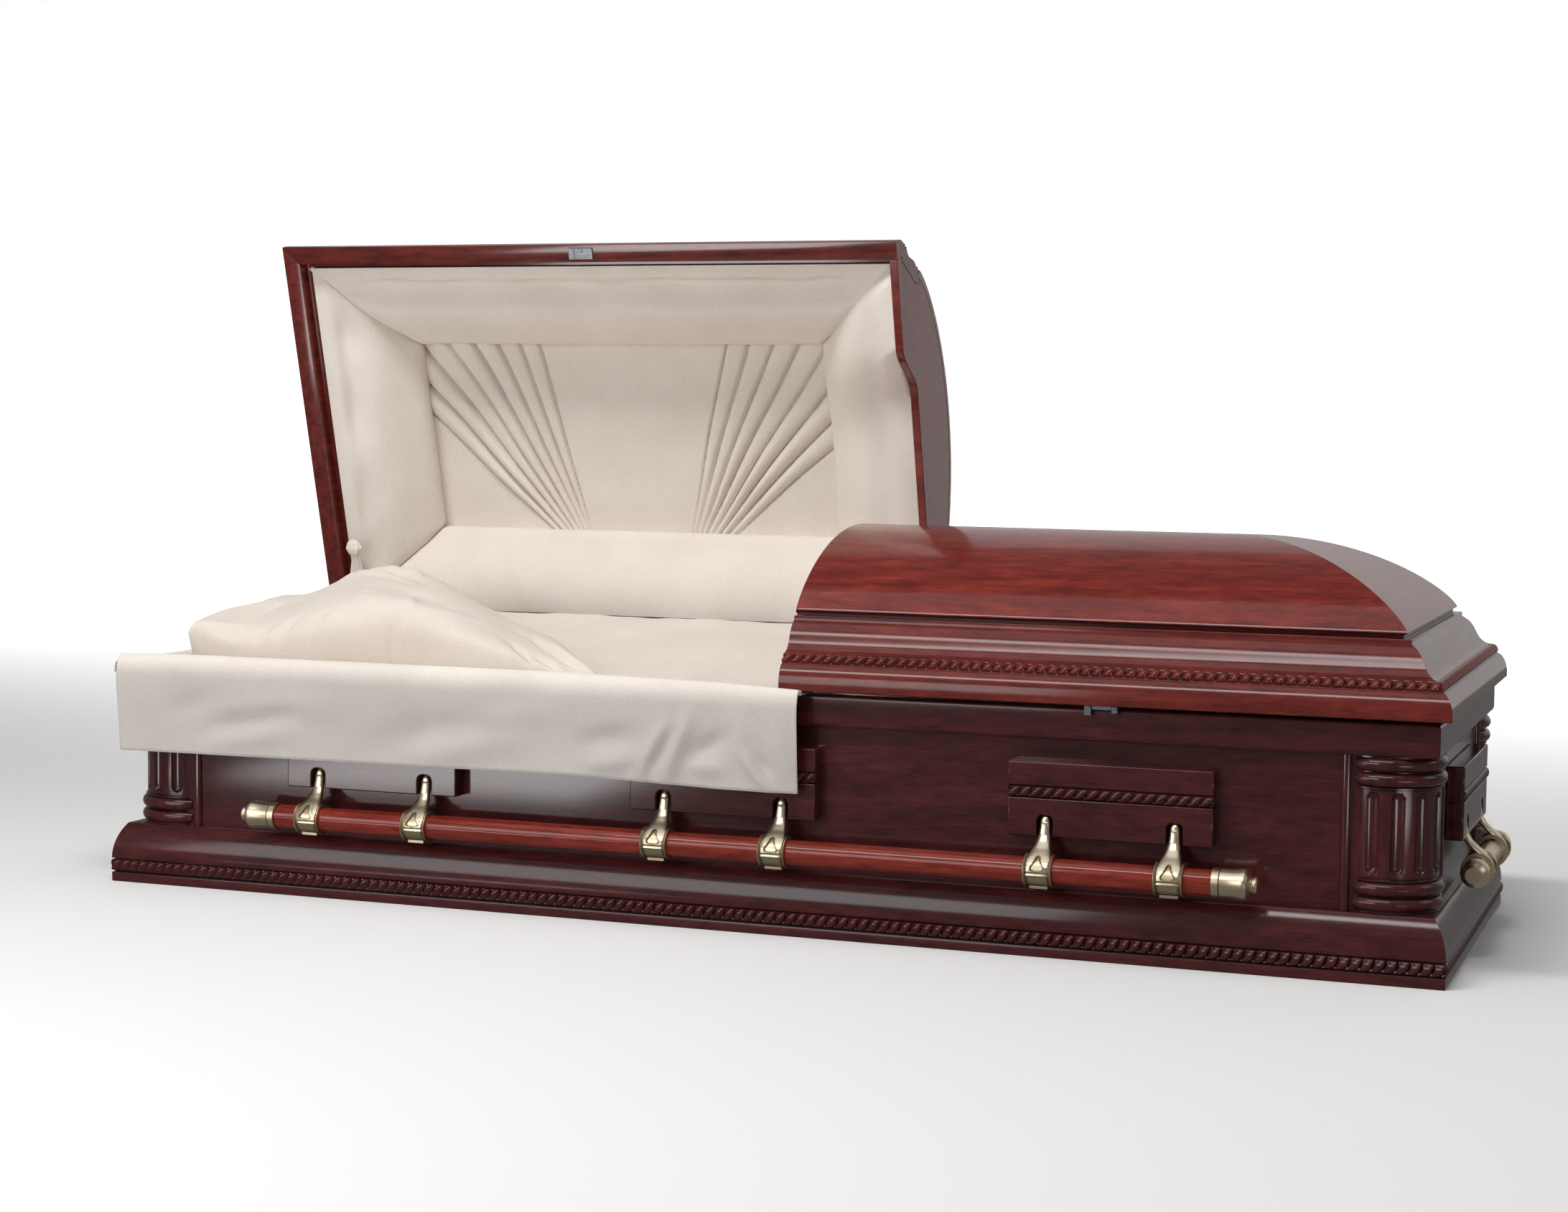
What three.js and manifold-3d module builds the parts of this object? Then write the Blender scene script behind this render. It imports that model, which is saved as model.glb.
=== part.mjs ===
// Half-couch funeral casket in stained hardwood with cloth lining and swing-bar handles.
// X runs along the length, head end at minus X. The viewing side faces minus Y. Z is up.
// The origin is the middle of the underside. All sizes are in millimetres.
// "Inset" is the distance inwards from the outer face of the base moulding.

import * as THREE from 'three';
import { mergeVertices } from 'three/addons/utils/BufferGeometryUtils.js';
import Module from 'manifold-3d';

const wasm = await Module();
wasm.setup();

// Driving dimensions
const LENGTH = 2108;
const WIDTH = 717;
const BASE_TOP = 94;
const RAIL_BOTTOM = 310;
const RAIL_TOP = 356;
const LID_BOTTOM = 362;
const FRAME_TOP = 467;
const CROWN_TOP = 592;
const SEAM_X = 88.7;
const LID_OPEN_DEGREES = 75;

// Clearances
const GAP = 0.3;
const SEAM_GAP = 2;

// Walls and floor
const WALL_INSET = 32;
const WALL_THICKNESS = 20;
const FLOOR_THICKNESS = 20;
const BATTEN_REACH = 43;
const BATTEN_HEIGHT = 20;
const BED_BOTTOM = 200;

// Base moulding
const FASCIA_TOP = 15;
const ROPE_RECESS = 3;
const BASE_ROPE = { bottom: 16.5, top: 36.5, height: 4.5 };
const OVOLO = { bottom: 38, inset: 0.8, radius: 91 };

// Rope carving: one strand per pitch
const ROPE_PITCH = 16;

// Top rail
const RAIL_INSET = 18;
const RAIL_CHAMFER = 4;

// Corner posts
const COLUMN_INSET = 90;
const SHAFT_RADIUS = 66;
const RING_RADIUS = 73.5;
const RING_HEIGHT = 19;
const RING_NECK = 67.5;
const FLUTE = { radius: 7, depth: 5, bottom: 147, top: 260, spacing: 30, each_side: 2 };
const POST_REACH = 151;
const BEAD_RADIUS = 7;

// Handle blocks, bars and arms
const BLOCK = { width: 294, bottom: 172, top: 278, thickness: 26, edge: 3 };
const BLOCK_ROPE = { bottom: 227, top: 243.5, height: 4 };
const BLOCK_CENTRES = [-585, 0, 585];
const ARM_OFFSET = 93;
const NOTCH = { width: 24, top: 203, corner: 9 };
const BAR = { radius: 18, outset: 11.5, z: 127, half: 737 };
const COLLAR = { radius: 21.5, width: 38 };
const BAR_SIDES = 8;
const TIP_LENGTH = 63;
const END_BAR_HALF = 122;
const END_TIP_LENGTH = 46;

// Lid frame and crown
const LID_INSET = 1.5;
const LID_RIM = 30.5;
const LID_RABBET = { depth: 26, width: 9.5 };
const LID_ROPE_HEIGHT = 4.5;
const FRAME_INNER = 92;
const CROWN_INSET = 73;
const CROWN_EDGE = 475;
const CROWN_THICKNESS = 14;
const CROWN_FULLNESS = 0.79;
const CROWN_STEPS = 6;
const BOARD_THICKNESS = 14;
const BOARD_ARCH = { z: 424, low_y: -176, high_y: -88 };
const HINGE = { y: 352, z: 358.5, radius: 3, half: 1000 };
const STRIKE = { x: [-497, -453], y: [-351, -332], thickness: 1.5 };
const LATCH = { x: [546, 594], y: [-352, -341.5], bottom: 346 };

// Cloth and bedding
const LINING_THICKNESS = 12;
const LINING_BOTTOM = 205;
const LINING_TOP = 352;
const MATTRESS = { half_length: 985, half_width: 288 };
const PUFF = { inset: 43.5, front: 383, edge: 6.5, depth: 11 };
const HEAD_PANEL = { x: [-876, -89], y: [-164, 200], z: 512, thickness: 8, bulge: 28 };
const FOOT_PANEL = { x: [250, 870], y: [-185, 185], z: 505, thickness: 8, bulge: 18 };
const APRON = { x: [-1022, 126], outer: -372, thickness: 5 };
const PILLOW_CORNERS = [[-970, -272, 384], [-268, -232, 354], [-480, 60, 399], [-985, 70, 412]];
const PILLOW_THICKNESS = 168;

const HALF_LENGTH = LENGTH / 2;
const HALF_WIDTH = WIDTH / 2;
const WALL_INNER = WALL_INSET + WALL_THICKNESS;
const ARM_PAIR = [-ARM_OFFSET, ARM_OFFSET];

// Finishes: colour, roughness and metalness
const FINISH = {
  wood: { color: 0x4c1c1a, roughness: 0.22, metalness: 0 },
  bar_wood: { color: 0x7d2a20, roughness: 0.22, metalness: 0 },
  brass: { color: 0xb9a670, roughness: 0.3, metalness: 1 },
  steel: { color: 0xb8babd, roughness: 0.3, metalness: 1 },
  cloth: { color: 0xe3d8c9, roughness: 0.85, metalness: 0 },
};

// Mesh helpers

/** Twice-signed volume test: true when the triangles of a closed surface face inwards. */
function facesInwards(points, triangles) {
  let volume = 0;
  for (const [a, b, c] of triangles) {
    const [p, q, r] = [points[a], points[b], points[c]];
    volume += p[0] * (q[1] * r[2] - q[2] * r[1]);
    volume += p[1] * (q[2] * r[0] - q[0] * r[2]);
    volume += p[2] * (q[0] * r[1] - q[1] * r[0]);
  }
  return volume < 0;
}

/** A closed surface from points and triangles, turned to face outwards. */
function closedSurface(points, triangles) {
  const inwards = facesInwards(points, triangles);
  const outward = triangles.map(([a, b, c]) => (inwards ? [a, c, b] : [a, b, c]));
  const geometry = new THREE.BufferGeometry();
  geometry.setAttribute('position', new THREE.Float32BufferAttribute(points.flat(), 3));
  geometry.setIndex(outward.flat());
  return geometry;
}

function toSolid(geometry) {
  const bare = geometry.clone();
  bare.deleteAttribute('normal');
  bare.deleteAttribute('uv');
  const merged = mergeVertices(bare, 1e-4);
  return new wasm.Manifold(new wasm.Mesh({
    numProp: 3,
    vertProperties: new Float32Array(merged.attributes.position.array),
    triVerts: new Uint32Array(merged.index.array),
  }));
}

function toGeometry(solid) {
  const mesh = solid.getMesh();
  const geometry = new THREE.BufferGeometry();
  geometry.setAttribute('position', new THREE.Float32BufferAttribute(mesh.vertProperties, 3));
  geometry.setIndex(Array.from(mesh.triVerts));
  return geometry;
}

const union = (...geometries) => toGeometry(geometries.map(toSolid).reduce((a, b) => a.add(b)));
const difference = (first, ...cutters) => toGeometry(
  cutters.map(toSolid).reduce((a, b) => a.subtract(b), toSolid(first)),
);

/** Triangles that fill a flat closed outline of [a, b] pairs. */
function fill(outline) {
  return THREE.ShapeUtils.triangulateShape(outline.map(([a, b]) => new THREE.Vector2(a, b)), []);
}

/** The sign of a triangle's turn in an outline of [a, b] pairs. */
function turn(outline, [a, b, c]) {
  const [p, q, r] = [outline[a], outline[b], outline[c]];
  return Math.sign((q[0] - p[0]) * (r[1] - p[1]) - (q[1] - p[1]) * (r[0] - p[0]));
}

/** Joins two rows of points, each from one end of a moulding to the other, with triangles. */
function zip(first, second, triangles) {
  let i = 0;
  let j = 0;
  while (i < first.length - 1 || j < second.length - 1) {
    const nextFirst = (i + 1) / (first.length - 1);
    const nextSecond = (j + 1) / (second.length - 1);
    if (j === second.length - 1 || (i < first.length - 1 && nextFirst <= nextSecond)) {
      triangles.push([first[i], first[i + 1], second[j]]);
      i += 1;
    } else {
      triangles.push([first[i], second[j + 1], second[j]]);
      j += 1;
    }
  }
}

/** Slanted roof-shaped strands between two equally divided rows of points. */
function ropeStrands(points, triangles, lower, upper, height) {
  const at = (k) => new THREE.Vector3(...points[k]);
  const across = at(upper[0]).sub(at(lower[0]));
  const out = new THREE.Vector3(0, -across.z, across.y).normalize().multiplyScalar(height);
  const ridgeStart = 0.24;
  for (let i = 0; i + 2 < lower.length; i += 1) {
    const [a, b, c, d] = [lower[i], lower[i + 1], upper[i + 2], upper[i + 1]];
    const foot = at(a).lerp(at(b), 0.5);
    const head = at(c).lerp(at(d), 0.5);
    const p = points.push(foot.clone().lerp(head, ridgeStart).add(out).toArray()) - 1;
    const q = points.push(foot.clone().lerp(head, 1 - ridgeStart).add(out).toArray()) - 1;
    triangles.push([a, b, p], [b, c, q], [b, q, p], [c, d, q], [d, a, p], [d, p, q]);
  }
  const last = lower.length - 1;
  triangles.push([lower[0], upper[1], upper[0]], [lower[last - 1], lower[last], upper[last]]);
}

/**
 * A straight moulding along X on the front of a box whose front face is at Y = -half.
 * The profile is a closed outline of [inset, height] pairs, upwards along its outer face.
 * startAt and endAt give X at the two ends for an inset, so that an end is mitred or square.
 * rope names the profile's edge that carries rope strands, and their height.
 */
function moulding(profile, startAt, endAt, half, rope) {
  const points = [];
  const triangles = [];
  const strands = Math.round((endAt(0) - startAt(0)) / ROPE_PITCH);
  const rows = profile.map(([inset, z], k) => {
    const steps = rope && (k === rope.edge || k === rope.edge + 1) ? strands : 1;
    const start = startAt(inset);
    const run = endAt(inset) - start;
    const place = (_, i) => points.push([start + (run * i) / steps, inset - half, z]) - 1;
    return Array.from({ length: steps + 1 }, place);
  });
  rows.forEach((row, k) => {
    const next = rows[(k + 1) % rows.length];
    if (rope && k === rope.edge) {
      ropeStrands(points, triangles, row, next, rope.height);
    } else {
      zip(row, next, triangles);
    }
  });
  for (const corners of fill(profile)) {
    const [a, b, c] = turn(profile, corners) < 0 ? corners : [...corners].reverse();
    triangles.push([rows[a][0], rows[b][0], rows[c][0]]);
    triangles.push([rows[c].at(-1), rows[b].at(-1), rows[a].at(-1)]);
  }
  return closedSurface(points, triangles);
}

/** A body through a row of like outlines of [x, y, z] points; flatten maps a point for the caps. */
function loft(outlines, flatten) {
  const size = outlines[0].length;
  const points = outlines.flat();
  const triangles = [];
  for (let row = 0; row + 1 < outlines.length; row += 1) {
    for (let k = 0; k < size; k += 1) {
      const a = row * size + k;
      const b = row * size + ((k + 1) % size);
      triangles.push([a, b, b + size], [a, b + size, a + size]);
    }
  }
  const first = outlines[0].map(flatten);
  const winding = Math.sign(THREE.ShapeUtils.area(first.map(([a, b]) => new THREE.Vector2(a, b))));
  const top = (outlines.length - 1) * size;
  for (const corners of fill(first)) {
    const [a, b, c] = turn(first, corners) === winding ? corners : [...corners].reverse();
    triangles.push([c, b, a], [a + top, b + top, c + top]);
  }
  return closedSurface(points, triangles);
}

/** An outline of [a, b] pairs as a straight bar along X from one x to another. */
function barAlongX(outline, from, to) {
  return loft([from, to].map((x) => outline.map(([y, z]) => [x, y, z])), ([, y, z]) => [y, z]);
}

function box(x, y, z) {
  const geometry = new THREE.BoxGeometry(x[1] - x[0], y[1] - y[0], z[1] - z[0]);
  return geometry.translate((x[0] + x[1]) / 2, (y[0] + y[1]) / 2, (z[0] + z[1]) / 2);
}

/** A turned body about X: pairs of [distance along X, radius], closed on the axis at both ends. */
function turned(profile, sides) {
  const ends = [[profile[0][0], 0], ...profile, [profile.at(-1)[0], 0]];
  const outline = ends.map(([along, radius]) => new THREE.Vector2(radius, along));
  return new THREE.LatheGeometry(outline, sides).rotateZ(-Math.PI / 2);
}

/** A closed ring: like closed outlines of [x, y, z] points, each joined to the next in a loop. */
function ring(levels) {
  const size = levels[0].length;
  const triangles = [];
  levels.forEach((_, level) => {
    const next = (level + 1) % levels.length;
    for (let k = 0; k < size; k += 1) {
      const side = (k + 1) % size;
      const [a, b] = [level * size + k, level * size + side];
      const [c, d] = [next * size + side, next * size + k];
      triangles.push([a, b, c], [a, c, d]);
    }
  });
  return closedSurface(levels.flat(), triangles);
}

/** Rectangle at a height and at an inset from the base's outer face. */
function insetLevel(inset, z) {
  const [x, y] = [HALF_LENGTH - inset, HALF_WIDTH - inset];
  return [[-x, -y, z], [x, -y, z], [x, y, z], [-x, y, z]];
}

const casket = new THREE.Group();
const headLid = new THREE.Group();
const footLid = new THREE.Group();
casket.add(headLid, footLid);

function add(name, geometry, finish, parent = casket) {
  const mesh = new THREE.Mesh(geometry, new THREE.MeshStandardMaterial(FINISH[finish]));
  mesh.name = name;
  parent.add(mesh);
  return mesh;
}

// The four sides are the front turned about Z by quarter turns; the plainer two have a round bead
// where the carved two have rope
const SIDES = [
  { name: 'front', quarter: 0, half: HALF_WIDTH, reach: HALF_LENGTH, carved: true },
  { name: 'foot', quarter: 1, half: HALF_LENGTH, reach: HALF_WIDTH, carved: true },
  { name: 'back', quarter: 2, half: HALF_WIDTH, reach: HALF_LENGTH, carved: false },
  { name: 'head', quarter: 3, half: HALF_LENGTH, reach: HALF_WIDTH, carved: false },
];
const toSide = (geometry, side) => geometry.rotateZ((side.quarter * Math.PI) / 2);

// Base, floor and walls

/** Base profile: fascia, rope or plain bead, quarter-round, ledge. */
function baseProfile(roped) {
  const beadFace = ROPE_RECESS - BASE_ROPE.height;
  const slope = BASE_ROPE.height;
  const bead = roped ? [] : [
    [beadFace, BASE_ROPE.bottom + slope],
    [beadFace, BASE_ROPE.top - slope],
  ];
  const steps = 5;
  const ovolo = Array.from({ length: steps + 1 }, (_, k) => {
    const rise = ((BASE_TOP - OVOLO.bottom) * k) / steps;
    const setBack = OVOLO.radius - Math.sqrt(OVOLO.radius ** 2 - rise ** 2);
    return [OVOLO.inset + setBack, OVOLO.bottom + rise];
  });
  return [
    [OVOLO.inset, 0], [OVOLO.inset, FASCIA_TOP],
    [ROPE_RECESS, BASE_ROPE.bottom], ...bead, [ROPE_RECESS, BASE_ROPE.top],
    ...ovolo, [WALL_INNER, BASE_TOP], [WALL_INNER, 0],
  ];
}

function buildBase() {
  for (const side of SIDES) {
    const rope = side.carved ? { edge: 2, height: BASE_ROPE.height } : undefined;
    const mitre = GAP / 2;
    const strip = moulding(
      baseProfile(side.carved),
      (inset) => inset - side.reach + mitre,
      (inset) => side.reach - inset - mitre,
      side.half,
      rope,
    );
    add(`base_moulding_${side.name}`, toSide(strip, side), 'wood');
  }
  const [x, y] = [HALF_LENGTH - WALL_INNER - GAP, HALF_WIDTH - WALL_INNER - GAP];
  add('bottom_board', box([-x, x], [-y, y], [0, FLOOR_THICKNESS]), 'wood');
}

function buildWalls() {
  const [low, high] = [BASE_TOP + GAP, RAIL_BOTTOM - GAP];
  const battenTop = BED_BOTTOM - GAP;
  const plain = [[WALL_INSET, low], [WALL_INSET, high], [WALL_INNER, high], [WALL_INNER, low]];
  const batten = [
    [WALL_INNER, battenTop], [WALL_INNER + BATTEN_REACH, battenTop],
    [WALL_INNER + BATTEN_REACH, battenTop - BATTEN_HEIGHT], [WALL_INNER, battenTop - BATTEN_HEIGHT],
  ];
  for (const side of SIDES) {
    const long = side.half === HALF_WIDTH;
    const profile = long ? [...plain.slice(0, 3), ...batten, plain[3]] : plain;
    const end = side.reach - POST_REACH - GAP;
    const wall = moulding(profile, () => -end, () => end, side.half);
    add(`${long ? 'side' : 'end'}_panel_${side.name}`, toSide(wall, side), 'wood');
  }
}

function buildRail() {
  add('top_rail', ring([
    insetLevel(RAIL_INSET + RAIL_CHAMFER, RAIL_BOTTOM),
    insetLevel(RAIL_INSET, RAIL_BOTTOM + RAIL_CHAMFER),
    insetLevel(RAIL_INSET, RAIL_TOP - RAIL_CHAMFER / 2),
    insetLevel(RAIL_INSET + RAIL_CHAMFER / 2, RAIL_TOP),
    insetLevel(WALL_INNER, RAIL_TOP),
    insetLevel(WALL_INNER, RAIL_BOTTOM),
  ]), 'wood');
}

// Corner posts, about their own column axis, with the corner towards plus X and minus Y

/** Two rings one above the other, from a height upwards. */
function ringPair(z) {
  const rings = [z, z + RING_HEIGHT].flatMap((low) => [
    [RING_NECK, low], [RING_RADIUS, low + RING_HEIGHT * 0.3], [RING_RADIUS, low + RING_HEIGHT * 0.7],
  ]);
  return [...rings, [RING_NECK, z + 2 * RING_HEIGHT]];
}

function columnBody(low, high, sides) {
  const pair = 2 * RING_HEIGHT;
  const profile = [
    [0, low], ...ringPair(low), [SHAFT_RADIUS, low + pair + 3],
    [SHAFT_RADIUS, high - pair - 3], ...ringPair(high - pair), [0, high],
  ];
  const outline = profile.map(([radius, z]) => new THREE.Vector2(radius, z));
  return new THREE.LatheGeometry(outline, sides).rotateX(Math.PI / 2);
}

/** Six-sided spindles, round the diagonal that faces the corner. */
function fluteCutters() {
  const { radius, bottom, top } = FLUTE;
  const spindle = [[0, bottom], [radius, bottom + radius], [radius, top - radius], [0, top]];
  const outline = spindle.map(([across, z]) => new THREE.Vector2(across, z));
  const distance = SHAFT_RADIUS + radius - FLUTE.depth;
  return Array.from({ length: 2 * FLUTE.each_side + 1 }, (_, k) => {
    const angle = THREE.MathUtils.degToRad(-45 + (k - FLUTE.each_side) * FLUTE.spacing);
    const flute = new THREE.LatheGeometry(outline, 6).rotateX(Math.PI / 2);
    return flute.translate(distance, 0, 0).rotateZ(angle);
  });
}

function cornerPost(fluted) {
  const [low, high] = [BASE_TOP + GAP, RAIL_BOTTOM - GAP];
  const outer = COLUMN_INSET - WALL_INSET;
  const inner = COLUMN_INSET - WALL_INNER;
  const far = POST_REACH - COLUMN_INSET;
  const flankStart = 20;
  const flanks = [
    box([-far, flankStart], [-outer, -inner], [low, high]),
    box([inner, outer], [-flankStart, far], [low, high]),
  ];
  const beadAt = far - BEAD_RADIUS;
  const beads = [[-beadAt, -outer], [outer, beadAt]].map(([x, y]) => {
    const bead = new THREE.CylinderGeometry(BEAD_RADIUS, BEAD_RADIUS, high - low, 8);
    return bead.rotateX(Math.PI / 2).translate(x, y, (low + high) / 2);
  });
  const reach = 2 * RING_RADIUS;
  const height = [low - 1, high + 1];
  const inside = [
    box([-reach, inner], [-inner, reach], height),
    box([-reach, -far], [-reach, reach], height),
    box([-reach, reach], [far, reach], height),
  ];
  const cutters = fluted ? [...inside, ...fluteCutters()] : inside;
  const column = columnBody(low, high, fluted ? 16 : 12);
  return difference(union(column, ...flanks, ...beads), ...cutters);
}

function buildPosts() {
  const [x, y] = [HALF_LENGTH - COLUMN_INSET, HALF_WIDTH - COLUMN_INSET];
  const places = [
    ['front_foot', x, -y, 0, true],
    ['back_foot', x, y, 1, false],
    ['back_head', -x, y, 2, false],
    ['front_head', -x, -y, 3, true],
  ];
  for (const [name, px, py, quarter, fluted] of places) {
    const post = add(`corner_post_${name}`, cornerPost(fluted), 'wood');
    post.position.set(px, py, 0);
    post.rotation.z = (quarter * Math.PI) / 2;
  }
}

// Handle blocks

function blockProfile(roped) {
  const face = WALL_INSET - BLOCK.thickness;
  const back = WALL_INSET - GAP;
  const groove = 1.5;
  const bead = roped ? [] : [
    [face - 2, BLOCK_ROPE.bottom + 4],
    [face - 2, BLOCK_ROPE.top - 4],
  ];
  return [
    [face + BLOCK.edge, BLOCK.bottom], [face, BLOCK.bottom + BLOCK.edge], [face, BLOCK_ROPE.bottom - 1],
    [face + groove, BLOCK_ROPE.bottom], ...bead, [face + groove, BLOCK_ROPE.top],
    [face, BLOCK_ROPE.top + 1], [face, BLOCK.top - BLOCK.edge], [face + BLOCK.edge, BLOCK.top],
    [back, BLOCK.top], [back, BLOCK.bottom],
  ];
}

/** A notch open at the bottom with two round upper corners, cut through the block's thickness. */
function notchCutter(x, half) {
  const shape = new THREE.Shape();
  const side = NOTCH.width / 2;
  const low = BLOCK.bottom - 5;
  shape.moveTo(-side, low);
  shape.lineTo(side, low);
  shape.lineTo(side, NOTCH.top - NOTCH.corner);
  shape.absarc(side - NOTCH.corner, NOTCH.top - NOTCH.corner, NOTCH.corner, 0, Math.PI / 2);
  shape.absarc(NOTCH.corner - side, NOTCH.top - NOTCH.corner, NOTCH.corner, Math.PI / 2, Math.PI);
  const cutter = new THREE.ExtrudeGeometry(shape, { depth: 60, bevelEnabled: false, curveSegments: 1 });
  return cutter.rotateX(Math.PI / 2).translate(x, WALL_INSET + 15 - half, 0);
}

function handleBlock(centre, half, roped) {
  const rope = roped ? { edge: 3, height: BLOCK_ROPE.height } : undefined;
  const [start, end] = [centre - BLOCK.width / 2, centre + BLOCK.width / 2];
  const body = moulding(blockProfile(roped), () => start, () => end, half, rope);
  return difference(body, ...ARM_PAIR.map((offset) => notchCutter(centre + offset, half)));
}

function buildBlocks() {
  for (const side of SIDES) {
    const long = side.half === HALF_WIDTH;
    const centres = long ? BLOCK_CENTRES : [0];
    centres.forEach((centre, k) => {
      const block = toSide(handleBlock(centre, side.half, side.carved), side);
      add(long ? `handle_block_${side.name}_${k + 1}` : `handle_block_${side.name}`, block, 'wood');
    });
  }
}

// Swing-bar handles, built on the front and turned to their side

const barPlace = (geometry, half) => geometry.translate(0, -half - BAR.outset, BAR.z);

/** Teardrop neck from the pivot in the notch down to the collar, as stacked rounded sections. */
function armNeck(half) {
  const levels = [
    { z: 200, wide: 6.5, deep: 5, inset: 15 },
    { z: 175, wide: 7.5, deep: 6, inset: 9.5 },
    { z: 150, wide: 17.5, deep: 9.5, inset: -7 },
    { z: BAR.z + 6, wide: 18.5, deep: 12, inset: -BAR.outset },
  ];
  const sides = 6;
  return loft(levels.map(({ z, wide, deep, inset }) => Array.from({ length: sides }, (_, k) => {
    const angle = (k * 2 * Math.PI) / sides;
    return [wide * Math.cos(angle), inset - half + deep * Math.sin(angle), z];
  })), ([x, y]) => [x, y]);
}

function armCollar(half) {
  const side = COLLAR.width / 2;
  return barPlace(turned([[-side, COLLAR.radius], [side, COLLAR.radius]], BAR_SIDES), half);
}

function arm(x, half) {
  const bore = barPlace(turned([[-60, BAR.radius + GAP], [60, BAR.radius + GAP]], BAR_SIDES), half);
  return difference(union(armNeck(half), armCollar(half)), bore).translate(x, 0, 0);
}

/** Bar tip, from the bar's end outwards: a band, a slight flare, a hollow shoulder, a flat end. */
function barTip() {
  return turned([[0, 18.8], [28, 18.4], [45, 20.8], [57, 10.5], [TIP_LENGTH, 10]], BAR_SIDES);
}

function buildLongHandle(side) {
  const bar = barPlace(turned([[-BAR.half, BAR.radius], [BAR.half, BAR.radius]], BAR_SIDES), side.half);
  add(`${side.name}_bar`, toSide(bar, side), 'bar_wood');
  for (const [name, flip] of [['left', true], ['right', false]]) {
    const tip = barTip().translate(BAR.half + GAP, 0, 0);
    const turnedTip = flip ? tip.rotateZ(Math.PI) : tip;
    add(`${side.name}_bar_tip_${name}`, toSide(barPlace(turnedTip, side.half), side), 'brass');
  }
  const arms = BLOCK_CENTRES.flatMap((centre) => ARM_PAIR.map((offset) => centre + offset));
  arms.forEach((x, k) => {
    add(`${side.name}_arm_${k + 1}`, toSide(arm(x, side.half), side), 'brass');
  });
}

/** End bail: a short bar with ball tips and two arms, cast in one. */
function endBail(half) {
  const tip = [
    [END_BAR_HALF, 16.5], [END_BAR_HALF + 12, 20.5], [END_BAR_HALF + 30, 20.5],
    [END_BAR_HALF + END_TIP_LENGTH, 11.5],
  ];
  const mirrored = tip.map(([along, radius]) => [-along, radius]).reverse();
  const bar = barPlace(turned([...mirrored, ...tip], BAR_SIDES), half);
  const arms = ARM_PAIR.flatMap((x) => (
    [armNeck(half), armCollar(half)].map((piece) => piece.translate(x, 0, 0))
  ));
  return union(bar, ...arms);
}

function buildHandles() {
  for (const side of SIDES) {
    if (side.half === HALF_WIDTH) {
      buildLongHandle(side);
    } else {
      add(`${side.name}_bail`, toSide(endBail(side.half), side), 'brass');
    }
  }
}

// Lids, modelled closed

/** Lid frame profile: rim, rounded fascia, rope or plain bead, cove, and the sloped inner face. */
function frameProfile(roped) {
  const ropeLow = [15, 400.5];
  const ropeHigh = [26.5, 413.5];
  const bead = roped ? [] : [[12.5, 406], [20, 414.5]];
  const rim = LID_INSET + LID_RIM;
  const ledge = LID_BOTTOM + LID_RABBET.depth;
  return [
    [LID_INSET, LID_BOTTOM], [LID_INSET, 371], [3.5, 383], [7.5, 393], [13.5, 400],
    ropeLow, ...bead, ropeHigh,
    [29.5, 416], [41, 426], [49, 442], [56, 453], [65, 460], [66, FRAME_TOP],
    [FRAME_INNER, FRAME_TOP], [FRAME_INNER, 452],
    [rim + LID_RABBET.width, ledge + 2], [rim + LID_RABBET.width, ledge],
    [rim, ledge], [rim, LID_BOTTOM],
  ];
}

const LID_ROPE_EDGE = 5;

/** Height of the crown's outside, or of its inside for a thickness, at an inset. */
function crownHeight(inset, thickness) {
  const run = HALF_WIDTH - CROWN_INSET - thickness;
  const across = (HALF_WIDTH - inset) / run;
  const edge = thickness > 0 ? FRAME_TOP + GAP : CROWN_EDGE;
  return edge + (CROWN_TOP - thickness - edge) * Math.max(0, 1 - across ** 2) ** CROWN_FULLNESS;
}

/** Insets from the crown's edge to its ridge, closer together near the edge. */
function crownInsets(thickness) {
  const start = CROWN_INSET + thickness;
  return Array.from({ length: CROWN_STEPS + 1 }, (_, k) => {
    const share = k / CROWN_STEPS;
    return start + (HALF_WIDTH - start) * share ** 1.35;
  });
}

/** Hipped crown shell from the seam to the end at plus X: front, end and back slopes in one. */
function crownShell(seam) {
  const outer = crownInsets(0).map((inset) => [inset, crownHeight(inset, 0)]);
  const inner = crownInsets(CROWN_THICKNESS).map((inset) => [inset, crownHeight(inset, CROWN_THICKNESS)]);
  const loop = [[CROWN_INSET, FRAME_TOP + GAP], ...outer, ...inner.reverse()];
  const ridge = outer.length;
  const points = [];
  const rows = loop.map(([inset, z]) => {
    const [x, y] = [HALF_LENGTH - inset, HALF_WIDTH - inset];
    const row = [[seam, -y, z], [x, -y, z], [x, y, z], [seam, y, z]];
    return row.map((point) => points.push(point) - 1);
  });
  const triangles = [];
  rows.forEach((row, k) => {
    const next = rows[(k + 1) % rows.length];
    if (k !== ridge) {
      zip(row, next, triangles);
    }
  });
  const last = rows.length - 1;
  for (let k = 0; k < ridge; k += 1) {
    const [low, high] = [rows[k], rows[k + 1]];
    const [lowIn, highIn] = [rows[last - Math.max(0, k - 1)], rows[last - k]];
    triangles.push([low[0], high[0], highIn[0]], [low[0], highIn[0], lowIn[0]]);
    triangles.push([low[3], highIn[3], high[3]], [low[3], lowIn[3], highIn[3]]);
  }
  return cleanSurface(points, triangles);
}

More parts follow.
